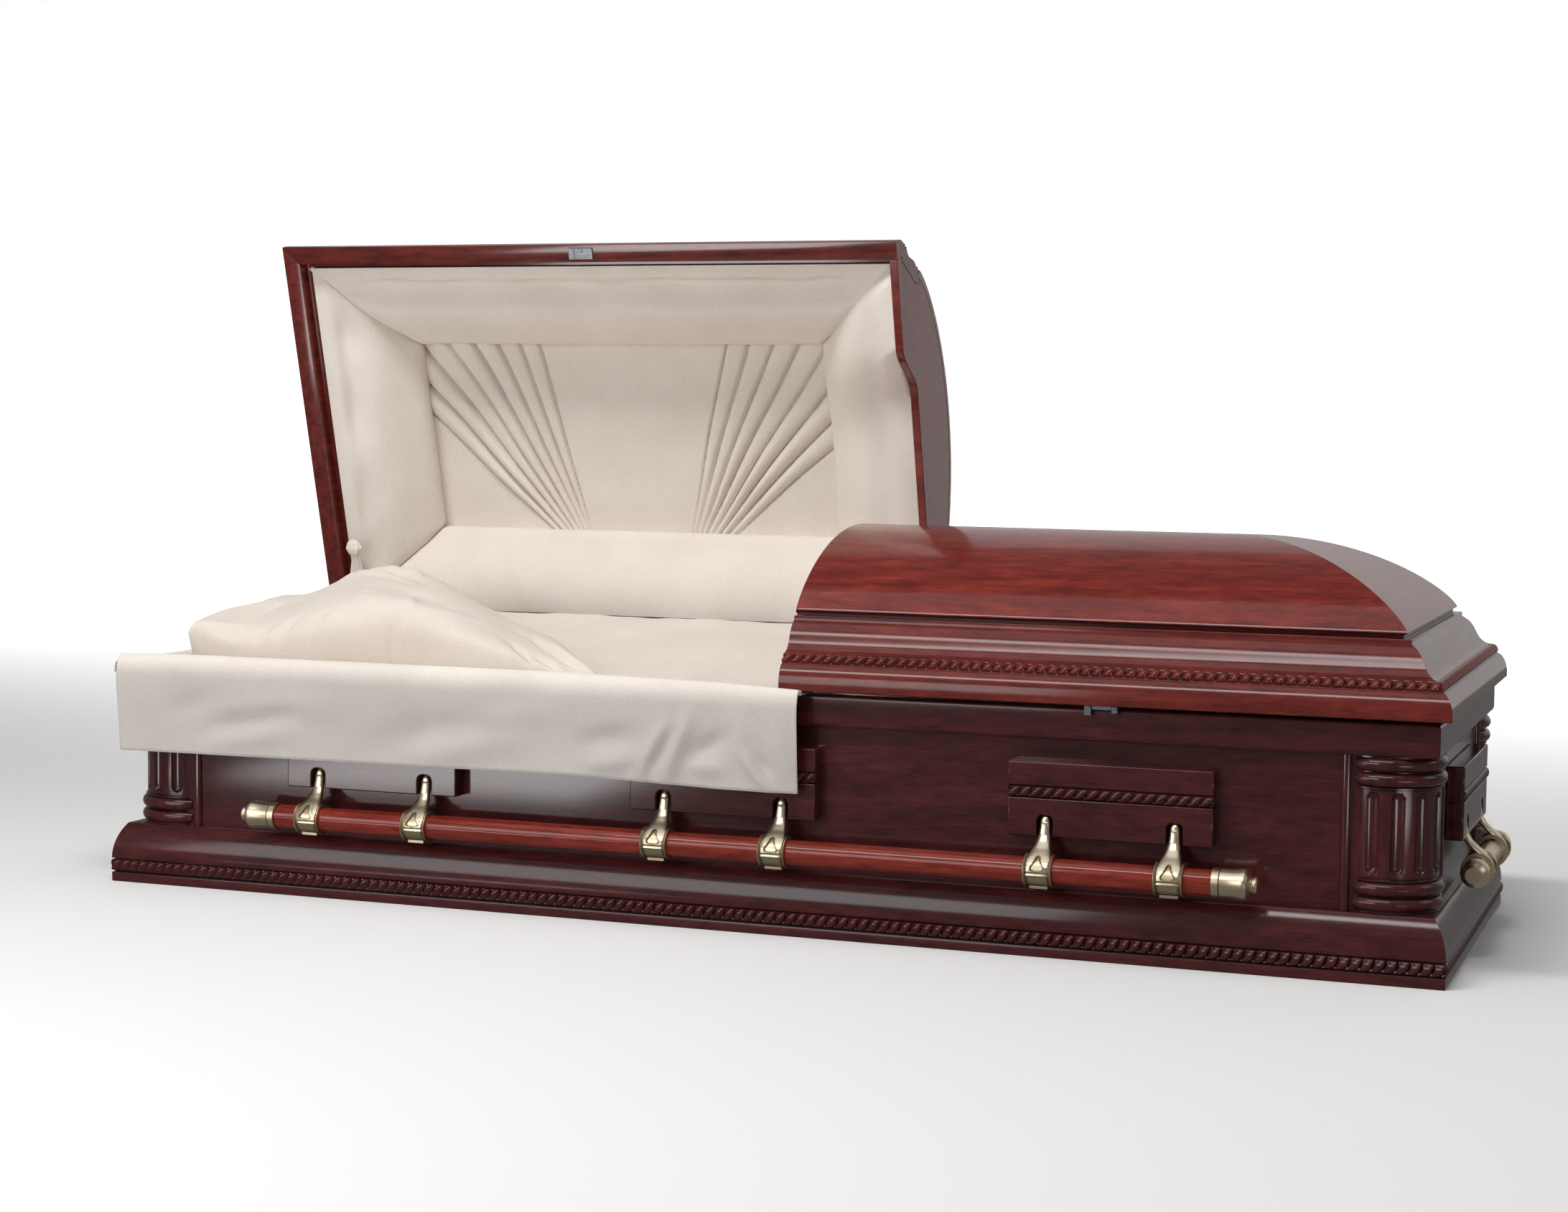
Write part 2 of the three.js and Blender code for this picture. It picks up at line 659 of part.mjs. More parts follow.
/** Merges equal points and drops triangles that have no area. */
function cleanSurface(points, triangles) {
  const keys = new Map();
  const index = points.map((point) => {
    const key = point.map((value) => value.toFixed(3)).join(' ');
    if (!keys.has(key)) {
      keys.set(key, keys.size);
    }
    return keys.get(key);
  });
  const kept = [];
  points.forEach((point, k) => { kept[index[k]] = point; });
  const real = triangles.map((corners) => corners.map((k) => index[k]))
    .filter(([a, b, c]) => a !== b && b !== c && c !== a);
  return closedSurface(kept, real);
}

/** Flat board across the seam end of a lid; its lower edge steps up in an ogee behind the front. */
function seamBoard(seam) {
  const frameGap = 1;
  const rimY = LID_INSET + LID_RIM + frameGap - HALF_WIDTH;
  const [frontY, backY] = [rimY + LID_RABBET.width, HALF_WIDTH - 76];
  const ledge = LID_BOTTOM + LID_RABBET.depth;
  const shape = new THREE.Shape();
  const { z, low_y: lowY, high_y: highY } = BOARD_ARCH;
  const middleY = (lowY + highY) / 2;
  shape.moveTo(rimY, LID_BOTTOM + GAP);
  shape.lineTo(lowY, LID_BOTTOM + GAP);
  shape.bezierCurveTo(middleY, LID_BOTTOM + GAP, middleY, z, highY, z);
  shape.lineTo(backY, z);
  shape.lineTo(HALF_WIDTH - FRAME_INNER - frameGap, 453);
  shape.lineTo(HALF_WIDTH - FRAME_INNER - frameGap, FRAME_TOP + 2);
  const arch = crownInsets(CROWN_THICKNESS / 2).slice(1)
    .map((inset) => [HALF_WIDTH - inset, crownHeight(inset, CROWN_THICKNESS / 2)]);
  arch.forEach(([y, height]) => shape.lineTo(y, height));
  arch.slice(0, -1).reverse().forEach(([y, height]) => shape.lineTo(-y, height));
  shape.lineTo(FRAME_INNER + frameGap - HALF_WIDTH, FRAME_TOP + 2);
  shape.lineTo(FRAME_INNER + frameGap - HALF_WIDTH, 453);
  shape.lineTo(frontY, ledge + 2);
  shape.lineTo(frontY, ledge - frameGap);
  shape.lineTo(rimY, ledge - frameGap);
  const options = { depth: BOARD_THICKNESS, bevelEnabled: false, curveSegments: 6 };
  const board = new THREE.ExtrudeGeometry(shape, options);
  board.rotateX(Math.PI / 2).rotateZ(Math.PI / 2);
  return board.translate(seam, 0, 0);
}

function mirrorX(geometry) {
  const indexed = geometry.index ? geometry : mergeVertices(geometry);
  const mirrored = indexed.clone().scale(-1, 1, 1);
  const index = Array.from(mirrored.index.array);
  for (let k = 0; k < index.length; k += 3) {
    [index[k + 1], index[k + 2]] = [index[k + 2], index[k + 1]];
  }
  mirrored.setIndex(index);
  return mirrored;
}

/** The three frame mouldings of a lid that runs from x = from to x = to; end is the hipped side. */
function buildLidFrame(lid, prefix, from, to, endSide) {
  const mitre = GAP / 2;
  const hipped = (x) => Math.abs(x) > HALF_LENGTH - 1;
  const startAt = (x) => (inset) => (hipped(x) ? inset - HALF_LENGTH + mitre : x);
  const endAt = (x) => (inset) => (hipped(x) ? HALF_LENGTH - inset - mitre : x);
  const rope = { edge: LID_ROPE_EDGE, height: LID_ROPE_HEIGHT };
  const front = moulding(frameProfile(true), startAt(from), endAt(to), HALF_WIDTH, rope);
  const back = moulding(frameProfile(false), startAt(-to), endAt(-from), HALF_WIDTH);
  const end = moulding(
    frameProfile(endSide.carved),
    (inset) => inset - HALF_WIDTH + mitre,
    (inset) => HALF_WIDTH - inset - mitre,
    HALF_LENGTH,
    endSide.carved ? rope : undefined,
  );
  addToLid(lid, `${prefix}_frame_front`, front, 'wood');
  addToLid(lid, `${prefix}_frame_back`, back.rotateZ(Math.PI), 'wood');
  addToLid(lid, `${prefix}_frame_end`, toSide(end, endSide), 'wood');
}

/** Lid pieces hang in a group whose origin is on the hinge axis. */
function addToLid(lid, name, geometry, finish) {
  add(name, geometry.translate(0, -HINGE.y, -HINGE.z), finish, lid);
}

/** Rim of a lid's lining: round three sides, then along the lower edge of the seam board. */
function liningRim(seam, end) {
  const y = HALF_WIDTH - PUFF.inset;
  const arch = BOARD_ARCH.z + 4;
  return [
    [end, -y, PUFF.front], [end, y, PUFF.front], [seam, y, PUFF.front], [seam, 255, arch],
    [seam, BOARD_ARCH.high_y, arch], [seam, BOARD_ARCH.low_y, PUFF.front + 1], [seam, -y, PUFF.front],
  ];
}

/** Rolled border from the rim in to the panel: straight between the two, plus a round bulge. */
function puffedBorder(rim, panel) {
  const along = rim.map(([x]) => x);
  const low = Math.min(...along);
  const span = Math.max(...along) - low;
  const reach = HALF_WIDTH - PUFF.inset;
  const onPanel = rim.map(([x, y]) => [
    panel.x[0] + ((panel.x[1] - panel.x[0]) * (x - low)) / span,
    panel.y[0] + ((panel.y[1] - panel.y[0]) * (y + reach)) / (2 * reach),
    panel.z,
  ]);
  const level = (share, lift) => rim.map((point, k) => {
    const [x, y, z] = point.map((value, axis) => value + (onPanel[k][axis] - value) * share);
    return [x, y, z + lift];
  });
  const face = [0, 0.18, 0.4, 0.65, 0.88, 1].map(
    (share) => level(share, -panel.bulge * Math.sin(Math.PI * share)),
  );
  return ring([...face, level(1, PUFF.depth), level(0, PUFF.edge)]);
}

function buildHeadLid() {
  const seam = SEAM_X - SEAM_GAP / 2;
  buildLidFrame(headLid, 'head_lid', -HALF_LENGTH, seam, SIDES[3]);
  const crown = union(crownShell(-seam), seamBoard(-seam));
  addToLid(headLid, 'head_lid_crown', mirrorX(crown), 'wood');
  const rim = liningRim(seam - BOARD_THICKNESS - 0.5, PUFF.inset - HALF_LENGTH);
  addToLid(headLid, 'head_lid_lining', puffedBorder(rim, HEAD_PANEL), 'cloth');
  const { x, y, z, thickness } = HEAD_PANEL;
  const panel = box([x[0] + 0.5, x[1] - 0.5], [y[0] + 0.5, y[1] - 0.5], [z, z + thickness]);
  addToLid(headLid, 'head_lid_panel', panel, 'cloth');
  const strikeTop = LID_BOTTOM - GAP;
  const strike = box(STRIKE.x, STRIKE.y, [strikeTop - STRIKE.thickness, strikeTop]);
  addToLid(headLid, 'head_lid_strike', strike, 'steel');
}

function buildFootLid() {
  const seam = SEAM_X + SEAM_GAP / 2;
  buildLidFrame(footLid, 'foot_lid', seam, HALF_LENGTH, SIDES[1]);
  addToLid(footLid, 'foot_lid_crown', union(crownShell(seam), seamBoard(seam)), 'wood');
  const rim = liningRim(seam + BOARD_THICKNESS + 0.5, HALF_LENGTH - PUFF.inset);
  const { x, y, z, thickness } = FOOT_PANEL;
  const ceiling = box([x[0] - 2, x[1] + 2], [y[0] - 2, y[1] + 2], [z, z + thickness]);
  addToLid(footLid, 'foot_lid_lining', union(puffedBorder(rim, FOOT_PANEL), ceiling), 'cloth');
  const latch = box(LATCH.x, LATCH.y, [LATCH.bottom, LID_BOTTOM - GAP]);
  addToLid(footLid, 'foot_lid_latch', latch, 'steel');
}

function placeLids() {
  headLid.position.set(0, HINGE.y, HINGE.z);
  headLid.rotation.x = -THREE.MathUtils.degToRad(LID_OPEN_DEGREES);
  footLid.position.set(0, HINGE.y, HINGE.z);
}

/** Continuous hinge: a leaf on the back of the rail, and a knuckle under the lids' overhang. */
function buildHinge() {
  const leaf = HALF_WIDTH - RAIL_INSET + GAP;
  const plate = 2;
  const sides = 8;
  const knuckle = Array.from({ length: sides - 1 }, (_, k) => {
    const angle = ((k - (sides - 2) / 2) * 2 * Math.PI) / sides;
    return [HINGE.y + HINGE.radius * Math.cos(angle), HINGE.z + HINGE.radius * Math.sin(angle)];
  });
  const outline = [
    [leaf, RAIL_TOP - 26], [leaf + plate, RAIL_TOP - 26], [leaf + plate, RAIL_TOP - 1],
    ...knuckle, [leaf, RAIL_TOP + 2],
  ];
  add('lid_hinge', barAlongX(outline, -HINGE.half, HINGE.half), 'brass');
}

// Cloth and bedding

/** Height of the bed across the width: low at the front, a round crest towards the back. */
const BED_SECTION = [
  [-288, 322], [-270, 338], [-235, 347], [-176, 356], [-88, 374], [0, 390],
  [100, 405], [180, 414], [225, 414], [255, 402], [275, 376], [288, 345],
];

function bedHeight(y) {
  const last = BED_SECTION.length - 1;
  const k = BED_SECTION.findIndex(([edge], i) => i === last || y <= BED_SECTION[i + 1][0]);
  const [[y0, z0], [y1, z1]] = [BED_SECTION[Math.min(k, last - 1)], BED_SECTION[Math.min(k + 1, last)]];
  return z0 + ((z1 - z0) * (y - y0)) / (y1 - y0);
}

function buildMattress() {
  const ends = [[1, 0.55], [0.965, 0.85], [0.89, 1]];
  const stations = [...ends.map(([share, height]) => [-share, height]), ...[...ends].reverse()];
  const outlines = stations.map(([share, height]) => {
    const x = share * MATTRESS.half_length;
    const crest = BED_SECTION.map(([y, z]) => [x, y, BED_BOTTOM + (z - BED_BOTTOM) * height]);
    return [[x, MATTRESS.half_width, BED_BOTTOM], [x, -MATTRESS.half_width, BED_BOTTOM], ...crest];
  });
  add('mattress', loft(outlines, ([, y, z]) => [y, z]), 'cloth');
}

function buildLining() {
  const [outer, inner] = [WALL_INNER + GAP, WALL_INNER + GAP + LINING_THICKNESS];
  add('body_lining', ring([
    insetLevel(outer, LINING_BOTTOM), insetLevel(outer, LINING_TOP),
    insetLevel(inner, LINING_TOP), insetLevel(inner, LINING_BOTTOM),
  ]), 'cloth');
}

/** Front apron: over the rail inside, and down in front to a hem that waves a little. */
function buildApron() {
  const hem = [[0, 216], [0.37, 218.5], [0.69, 220.5], [0.88, 213], [1, 213]];
  const { x, outer, thickness } = APRON;
  const inside = outer + thickness;
  const outlines = hem.map(([share, z]) => [
    [outer, z], [outer, 300], [outer + 1, 362], [outer + 4, 367], [outer + 9, 367],
    [outer + 12.5, 359.4], [-300, 359.4], [-300, RAIL_TOP + 0.4], [inside + 6, RAIL_TOP + 0.4],
    [inside, 351], [inside, z],
  ].map(([y, height]) => [x[0] + (x[1] - x[0]) * share, y, height]));
  add('apron', loft(outlines, ([, y, z]) => [y, z]), 'cloth');
}

/** Pillow: a four-cornered cushion, thickest in the middle, thin at its seam, resting on the bed. */
function buildPillow() {
  const [across, along] = [5, 8];
  const corner = (u, v, axis) => {
    const [a, b, c, d] = PILLOW_CORNERS.map((point) => point[axis]);
    return (1 - u) * (1 - v) * a + u * (1 - v) * b + u * v * c + (1 - u) * v * d;
  };
  const points = [];
  const sheet = (share) => Array.from({ length: across + 1 }, (_, j) => (
    Array.from({ length: along + 1 }, (__, i) => {
      const [u, v] = [i / along, j / across];
      const swell = PILLOW_THICKNESS * Math.sqrt(16 * u * (1 - u) * v * (1 - v));
      const [x, y] = [corner(u, v, 0), corner(u, v, 1)];
      const z = Math.max(corner(u, v, 2) + share * swell, bedHeight(y) + 4);
      return points.push([x, y, z]) - 1;
    })
  ));
  const triangles = [];
  const [top, bottom] = [sheet(0.6), sheet(-0.4)];
  for (let j = 0; j < across; j += 1) {
    for (let i = 0; i < along; i += 1) {
      const cell = (rows) => [rows[j][i], rows[j][i + 1], rows[j + 1][i + 1], rows[j + 1][i]];
      const [a, b, c, d] = cell(top);
      triangles.push([a, b, c], [a, c, d]);
      const [e, f, g, h] = cell(bottom);
      triangles.push([e, g, f], [e, h, g]);
    }
  }
  add('pillow', cleanSurface(points, triangles), 'cloth');
}

buildBase();
buildWalls();
buildRail();
buildPosts();
buildBlocks();
buildHandles();
buildHeadLid();
buildFootLid();
placeLids();
buildHinge();
buildMattress();
buildLining();
buildApron();
buildPillow();

export default casket;
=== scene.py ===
"""Dressing of a half-couch funeral casket: lacquered mahogany, antique brass and ivory crepe.

Sizes are millimetres in the casket's own frame and become metres when a mesh is made.
"Inset" is the distance inwards from the outer face of the base moulding.
"""

import math

import bmesh
import bpy
import numpy as np
from mathutils import Matrix, Vector


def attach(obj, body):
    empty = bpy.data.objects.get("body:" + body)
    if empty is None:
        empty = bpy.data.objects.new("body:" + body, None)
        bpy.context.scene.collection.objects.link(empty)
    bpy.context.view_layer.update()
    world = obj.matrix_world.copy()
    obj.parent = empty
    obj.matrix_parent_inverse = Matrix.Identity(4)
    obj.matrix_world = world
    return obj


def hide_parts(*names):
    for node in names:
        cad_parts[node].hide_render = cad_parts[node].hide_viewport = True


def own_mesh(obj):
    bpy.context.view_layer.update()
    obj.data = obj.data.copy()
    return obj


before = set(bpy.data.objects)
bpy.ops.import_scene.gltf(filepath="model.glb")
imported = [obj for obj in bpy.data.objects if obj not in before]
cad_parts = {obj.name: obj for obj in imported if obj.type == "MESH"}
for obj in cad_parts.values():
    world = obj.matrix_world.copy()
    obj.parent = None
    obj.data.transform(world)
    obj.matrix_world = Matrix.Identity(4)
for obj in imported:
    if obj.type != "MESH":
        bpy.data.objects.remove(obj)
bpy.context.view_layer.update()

# Driving sizes, the same as in the solids
MM = 0.001
HALF_LENGTH, HALF_WIDTH = 1054.0, 358.5
BASE_TOP, RAIL_BOTTOM, RAIL_TOP, WALL_INNER = 94.0, 310.0, 356.0, 52.0
LID_BOTTOM, FRAME_TOP, CROWN_TOP = 362.0, 467.0, 592.0
SEAM_X, SEAM_GAP, BOARD_THICKNESS = 88.7, 2.0, 14.0
HINGE_Y, HINGE_Z, LID_OPEN = 352.0, 358.5, math.radians(75)
BLOCK_CENTRES, BLOCK_WIDTH, ARM_OFFSET = (-585.0, 0.0, 585.0), 294.0, 93.0
BAR_RADIUS, BAR_OUTSET, BAR_Z, BAR_HALF = 18.0, 11.5, 127.0, 737.0
COLUMN_INSET, SHAFT_RADIUS = 90.0, 66.0
HEAD_SEAM, FOOT_SEAM = SEAM_X - SEAM_GAP / 2, SEAM_X + SEAM_GAP / 2

# name, quarter turns from the front, half depth, half length, axis of the grain
SIDES = (
    ("front", 0, HALF_WIDTH, HALF_LENGTH, "x"),
    ("foot", 1, HALF_LENGTH, HALF_WIDTH, "y"),
    ("back", 2, HALF_WIDTH, HALF_LENGTH, "x"),
    ("head", 3, HALF_LENGTH, HALF_WIDTH, "y"),
)


# Shapes: a shape is an array of points and a list of faces


def grid_of(x, y, z):
    """Points of a grid from coordinates that broadcast to one size."""
    return np.stack(np.broadcast_arrays(x, y, z), -1)


def quads(rows, columns, wrap=False):
    """Quads of a grid of points in row order; wrap joins the last column to the first."""
    row = np.arange(rows - 1)[:, None] * columns
    column = np.arange(columns if wrap else columns - 1)[None, :]
    after = (column + 1) % columns
    corners = [row + column, row + after, row + columns + after, row + columns + column]
    return np.stack(np.broadcast_arrays(*corners), -1).reshape(-1, 4).tolist()


def open_sheet(grid):
    """A sheet from a grid of points."""
    return grid.reshape(-1, 3), quads(*grid.shape[:2])


def joined(*shapes):
    """One shape from several: points stacked, faces renumbered."""
    starts = np.cumsum([0] + [len(points) for points, _ in shapes]).tolist()
    faces = [[k + start for k in face] for (_, own), start in zip(shapes, starts) for face in own]
    return np.vstack([points for points, _ in shapes]), faces


def moved(shape, x=0.0, y=0.0, z=0.0):
    """A shape with a step added to its points."""
    return shape[0] + np.array([x, y, z]), shape[1]


def on_side(shape, quarter):
    """A shape of the front turned about Z by quarter turns."""
    angle = quarter * math.pi / 2
    cos, sin = round(math.cos(angle)), round(math.sin(angle))
    turn = np.array([[cos, -sin, 0], [sin, cos, 0], [0, 0, 1]])
    return shape[0] @ turn.T, shape[1]


def mirrored(shape, axis):
    """Mirrored in one axis, faces turned back."""
    flip = np.ones(3)
    flip[axis] = -1.0
    return shape[0] * flip, [face[::-1] for face in shape[1]]


def opened(shape):
    """A closed head lid's shape turned about the hinge to where the open lid stands."""
    x, y, z = shape[0].T
    deep, high = y - HINGE_Y, z - HINGE_Z
    cos, sin = math.cos(LID_OPEN), math.sin(LID_OPEN)
    return grid_of(x, HINGE_Y + deep * cos + high * sin, HINGE_Z - deep * sin + high * cos), shape[1]


def loop_solid(grid):
    """A closed body from a grid whose columns run round a closed outline; the end rows are its caps."""
    rows, columns = grid.shape[:2]
    last = (rows - 1) * columns
    faces = quads(rows, columns, wrap=True)
    return grid.reshape(-1, 3), faces + [list(range(columns))[::-1], list(range(last, last + columns))]


def between(front, back):
    """A closed body between two grids of the same size: both sheets and the four edges."""
    rows, columns = front.shape[:2]
    count = rows * columns
    index = np.arange(count).reshape(rows, columns)
    edge = np.concatenate([index[0, :-1], index[:-1, -1], index[-1, :0:-1], index[:0:-1, 0]])
    after = np.roll(edge, -1)
    rim = np.stack([after, edge, edge + count, after + count], -1).tolist()
    face = quads(rows, columns)
    points = np.vstack([front.reshape(-1, 3), back.reshape(-1, 3)])
    return points, face + [[k + count for k in quad[::-1]] for quad in face] + rim


def prism(outline, low, high):
    """An outline of [x, z] points carried straight from one y to another."""
    x, z = np.asarray(outline, float).T
    return loop_solid(grid_of(x, [[low], [high]], z))


def box(x, y, z):
    """A block between two values of each coordinate."""
    return prism([[x[0], z[0]], [x[1], z[0]], [x[1], z[1]], [x[0], z[1]]], *y)


def turned(profile, sides):
    """A body turned about X: pairs of [distance along X, radius], closed on the axis by its caps."""
    along, radius = np.asarray(profile, float).T[..., None]
    angle = np.linspace(0, 2 * np.pi, sides, endpoint=False)
    return loop_solid(grid_of(along, radius * np.sin(angle), radius * np.cos(angle)))


def smooth(points, steps):
    """A Catmull-Rom curve through points, with a number of steps in each span."""
    points = np.asarray(points, float)
    ends = np.vstack([2 * points[0] - points[1], points, 2 * points[-1] - points[-2]])
    share = np.linspace(0, 1, steps, endpoint=False)[:, None]
    spans = []
    for a, b, c, d in zip(ends, ends[1:], ends[2:], ends[3:]):
        square = 2 * a - 5 * b + 4 * c - d
        cube = 3 * b - a - 3 * c + d
        spans.append(0.5 * (2 * b + (c - a) * share + square * share**2 + cube * share**3))
    return np.vstack(spans + [points[-1:]])


def ripple(x, y, length, seed):
    """Smooth waves without a grid: seven sines of mixed direction about one wavelength, from -1 to 1."""
    order = np.arange(1, 8)
    angle = np.sin(order * 12.9 + seed) * 3.1
    wave = 2 * np.pi / (length * (0.7 + 0.6 * np.abs(np.sin(order * 4.7 + seed * 1.7))))
    total = 0.0
    for direction, number, phase in zip(angle, wave, np.sin(order * 78.2 + seed * 3.3) * 6.0):
        total = total + np.sin(number * (x * math.cos(direction) + y * math.sin(direction)) + phase)
    return total / 3.5


def bump(value, middle, width):
    """Bell curve of height 1 about a middle."""
    return np.exp(-(((value - middle) / width) ** 2))


def arch(share):
    """Half circle of height 1 over shares from 0 to 1."""
    return np.sqrt(np.clip(1 - (2 * share - 1) ** 2, 0, 1))


# Mouldings on the front; each end of a strip is its x at no inset and its slope with the inset

MITRE_GAP = 0.1
ROPE_PITCH, ROPE_SEAT = 16.0, 1.5


def mitred(reach):
    """Ends of a strip that is mitred at the corners."""
    return (MITRE_GAP - reach, 1.0), (reach - MITRE_GAP, -1.0)


def along_strip(ends, inset, share):
    """X at a share of a strip's length."""
    (start, start_slope), (end, end_slope) = ends
    first = start + start_slope * inset
    return first + (end + end_slope * inset - first) * share


def sweep(profile, ends, half):
    """A straight moulding: a closed [inset, z] outline carried along X between its two ends."""
    inset, z = np.asarray(profile, float).T
    x = along_strip(ends, inset, np.array([[0.0], [1.0]]))
    return loop_solid(grid_of(x, inset - half, z))


def rope(ends, half, low, high, height):
    """Rope carving between two [inset, z] points of a moulding.

    Across the band the section is a half ellipse. Along it each strand swells as a sine lobe,
    and the strands lean so that one pitch is gained from the lower edge to the upper.
    """
    low, high = np.array(low), np.array(high)
    length = along_strip(ends, low[0], 1.0) - along_strip(ends, low[0], 0.0)
    strands = round(length / ROPE_PITCH)
    along = np.linspace(0, 1, strands * 12 + 1)[:, None]
    across = np.linspace(0, 1, 10)[None, :]
    lean = across - 0.5 + 0.09 * np.sin(2 * np.pi * across)
    lobe = np.abs(np.sin(np.pi * (along * strands - lean))) ** 0.6
    rise = height * arch(across) * (0.05 + 0.95 * lobe)
    run = high - low
    outward = np.array([-run[1], run[0]]) / np.hypot(*run)
    inset = low[0] + run[0] * across + outward[0] * rise
    z = low[1] + run[1] * across + outward[1] * rise
    for corner in (high - ROPE_SEAT * outward, low - ROPE_SEAT * outward):
        inset = np.hstack([inset, np.full_like(along, corner[0])])
        z = np.hstack([z, np.full_like(along, corner[1])])
    return loop_solid(grid_of(along_strip(ends, inset, along), inset - half, z))


# Meshes and pieces

# How strongly painted shade darkens the wood's creases and carved hollows
HOLLOW_SHADE_START, HOLLOW_SHADE_GAIN, HOLLOW_SHADE_SPREAD = 0.06, 5.5, 0.8
CLOTH_SHARP, BRASS_SHARP, WOOD_SHARP = 80.0, 50.0, 38.0


def store(mesh, name, values):
    """Keeps one number for each point of a mesh, for its material."""
    mesh.attributes.new(name, "FLOAT", "POINT").data.foreach_set("value", values.astype(np.float32))


def paint_hollow_shade(mesh):
    """Stores how hollow the surface is at each point: the mean rise of its neighbours along its normal.

    Values run from 0 on flat and round parts to 1 in a deep crease, and spread softly to the next points.
    The wood is darkened by them: painted shade in its creases and carved hollows.
    """
    count = len(mesh.vertices)
    place, normal = np.empty(count * 3), np.empty(count * 3)
    ends = np.empty(len(mesh.edges) * 2, int)
    mesh.vertices.foreach_get("co", place)
    mesh.vertex_normals.foreach_get("vector", normal)
    mesh.edges.foreach_get("vertices", ends)
    place, normal, ends = place.reshape(-1, 3), normal.reshape(-1, 3), ends.reshape(-1, 2)
    near, far = np.concatenate([ends, ends[:, ::-1]]).T
    step = place[far] - place[near]
    rise = np.sum(step * normal[near], 1) / np.linalg.norm(step, axis=1)
    degree = np.maximum(np.bincount(near, minlength=count), 1)
    mean_rise = np.bincount(near, rise, count) / degree
    hollow_shade = np.clip((mean_rise - HOLLOW_SHADE_START) * HOLLOW_SHADE_GAIN, 0, 1)
    hollow_shade = np.maximum(hollow_shade, HOLLOW_SHADE_SPREAD * np.bincount(near, hollow_shade[far], count) / degree)
    store(mesh, "hollow_shade", hollow_shade)


def merged_mesh(name, shape, patina_and_shade=None):
    """A mesh in metres from a shape: equal points merged and faces turned outwards."""
    mesh = bpy.data.meshes.new(name)
    mesh.from_pydata((shape[0] * MM).tolist(), [], shape[1])
    if patina_and_shade is not None:
        store(mesh, "patina_and_shade", patina_and_shade)
    work = bmesh.new()
    work.from_mesh(mesh)
    bmesh.ops.remove_doubles(work, verts=work.verts, dist=0.01 * MM)
    bmesh.ops.recalc_face_normals(work, faces=work.faces)
    work.to_mesh(mesh)
    work.free()
    return mesh


def add_object(name, data):
    """A new object in the scene, at the origin."""
    made = bpy.data.objects.new(name, data)
    bpy.context.scene.collection.objects.link(made)
    return made


def make_piece(
    name, shape, material, body, replaced=(), slot="wood", sharp=WOOD_SHARP, bevel=0.0, patina_and_shade=None
):
    """A smooth piece from a shape; edges sharper than an angle stay, and a bevel rounds them."""
    mesh = merged_mesh(name, shape, patina_and_shade)
    mesh.polygons.foreach_set("use_smooth", np.ones(len(mesh.polygons), bool))
    mesh.set_sharp_from_angle(angle=math.radians(sharp))
    # Wood gets painted shade in its creases and carved hollows
    if slot == "wood":
        paint_hollow_shade(mesh)
    mesh.materials.append(material)
    piece = add_object(name, mesh)
    if bevel:
        rounding = piece.modifiers.new("rounded edges", "BEVEL")
        rounding.width = bevel * MM
        rounding.segments = 3
        rounding.limit_method = "ANGLE"
        rounding.angle_limit = math.radians(40)
    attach(piece, body)
    if replaced:
        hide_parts(*replaced)
    return piece


# Materials

# Sockets of a colour mix: both colours and the result
MIX_FIRST, MIX_SECOND, MIX_RESULT = 6, 7, 2
GRAIN = {
    "x": (0.0, 0.0, 0.0),
    "y": (0.0, 0.0, math.pi / 2),
    "z": (0.0, -math.pi / 2, 0.0),
    "lid end": (-LID_OPEN, 0.0, math.pi / 2),
}


def linear(text):
    """A linear colour with alpha from an sRGB hex text."""
    srgb = np.array([int(text[k : k + 2], 16) for k in (1, 3, 5)]) / 255
    return (*np.where(srgb <= 0.04045, srgb / 12.92, ((srgb + 0.055) / 1.055) ** 2.4), 1.0)


def set_inputs(tree, made, inputs):
    """Sets or links a node's inputs."""
    for key, value in inputs.items():
        if isinstance(value, bpy.types.NodeSocket):
            tree.links.new(value, made.inputs[key])
        else:
            made.inputs[key].default_value = value


def node(tree, kind, inputs, stops=(), **settings):
    """Adds a node with its settings, its (place, hex) stops if it is a colour ramp, and its inputs."""
    made = tree.nodes.new(kind)
    for key, value in settings.items():
        setattr(made, key, value)
    for number, (place, text) in enumerate(stops):
        elements = made.color_ramp.elements
        stop = elements[number] if number < 2 else elements.new(place)
        stop.position = place
        stop.color = linear(text)
    set_inputs(tree, made, inputs)
    return made


def new_material(name):
    """A material with its node tree, its shader and the piece's own coordinates in metres."""
    material = bpy.data.materials.new(name)
    material.use_nodes = True
    tree = material.node_tree
    where = node(tree, "ShaderNodeTexCoord", {}).outputs["Object"]
    return material, tree, tree.nodes["Principled BSDF"], where


def patches(tree, where, size, turn=(0.0, 0.0, 0.0), **settings):
    """A noise pattern whose patches have a real size in metres along the turned axes."""
    place = {"Vector": where, "Rotation": turn, "Scale": size}
    placed = node(tree, "ShaderNodeMapping", place, vector_type="TEXTURE").outputs[0]
    return node(tree, "ShaderNodeTexNoise", {"Vector": placed, "Scale": 1.0, **settings}).outputs[0]


def shaded(tree, colour, shades):
    """A colour multiplied by shades, each a pattern with the (place, hex) stops of its ramp."""
    for pattern, stops in shades:
        shade = node(tree, "ShaderNodeValToRGB", {"Fac": pattern}, stops).outputs["Color"]
        inputs = {"Factor": 1.0, MIX_FIRST: colour, MIX_SECOND: shade}
        mixed = node(tree, "ShaderNodeMix", inputs, data_type="RGBA", blend_type="MULTIPLY")
        colour = mixed.outputs[MIX_RESULT]
    return colour


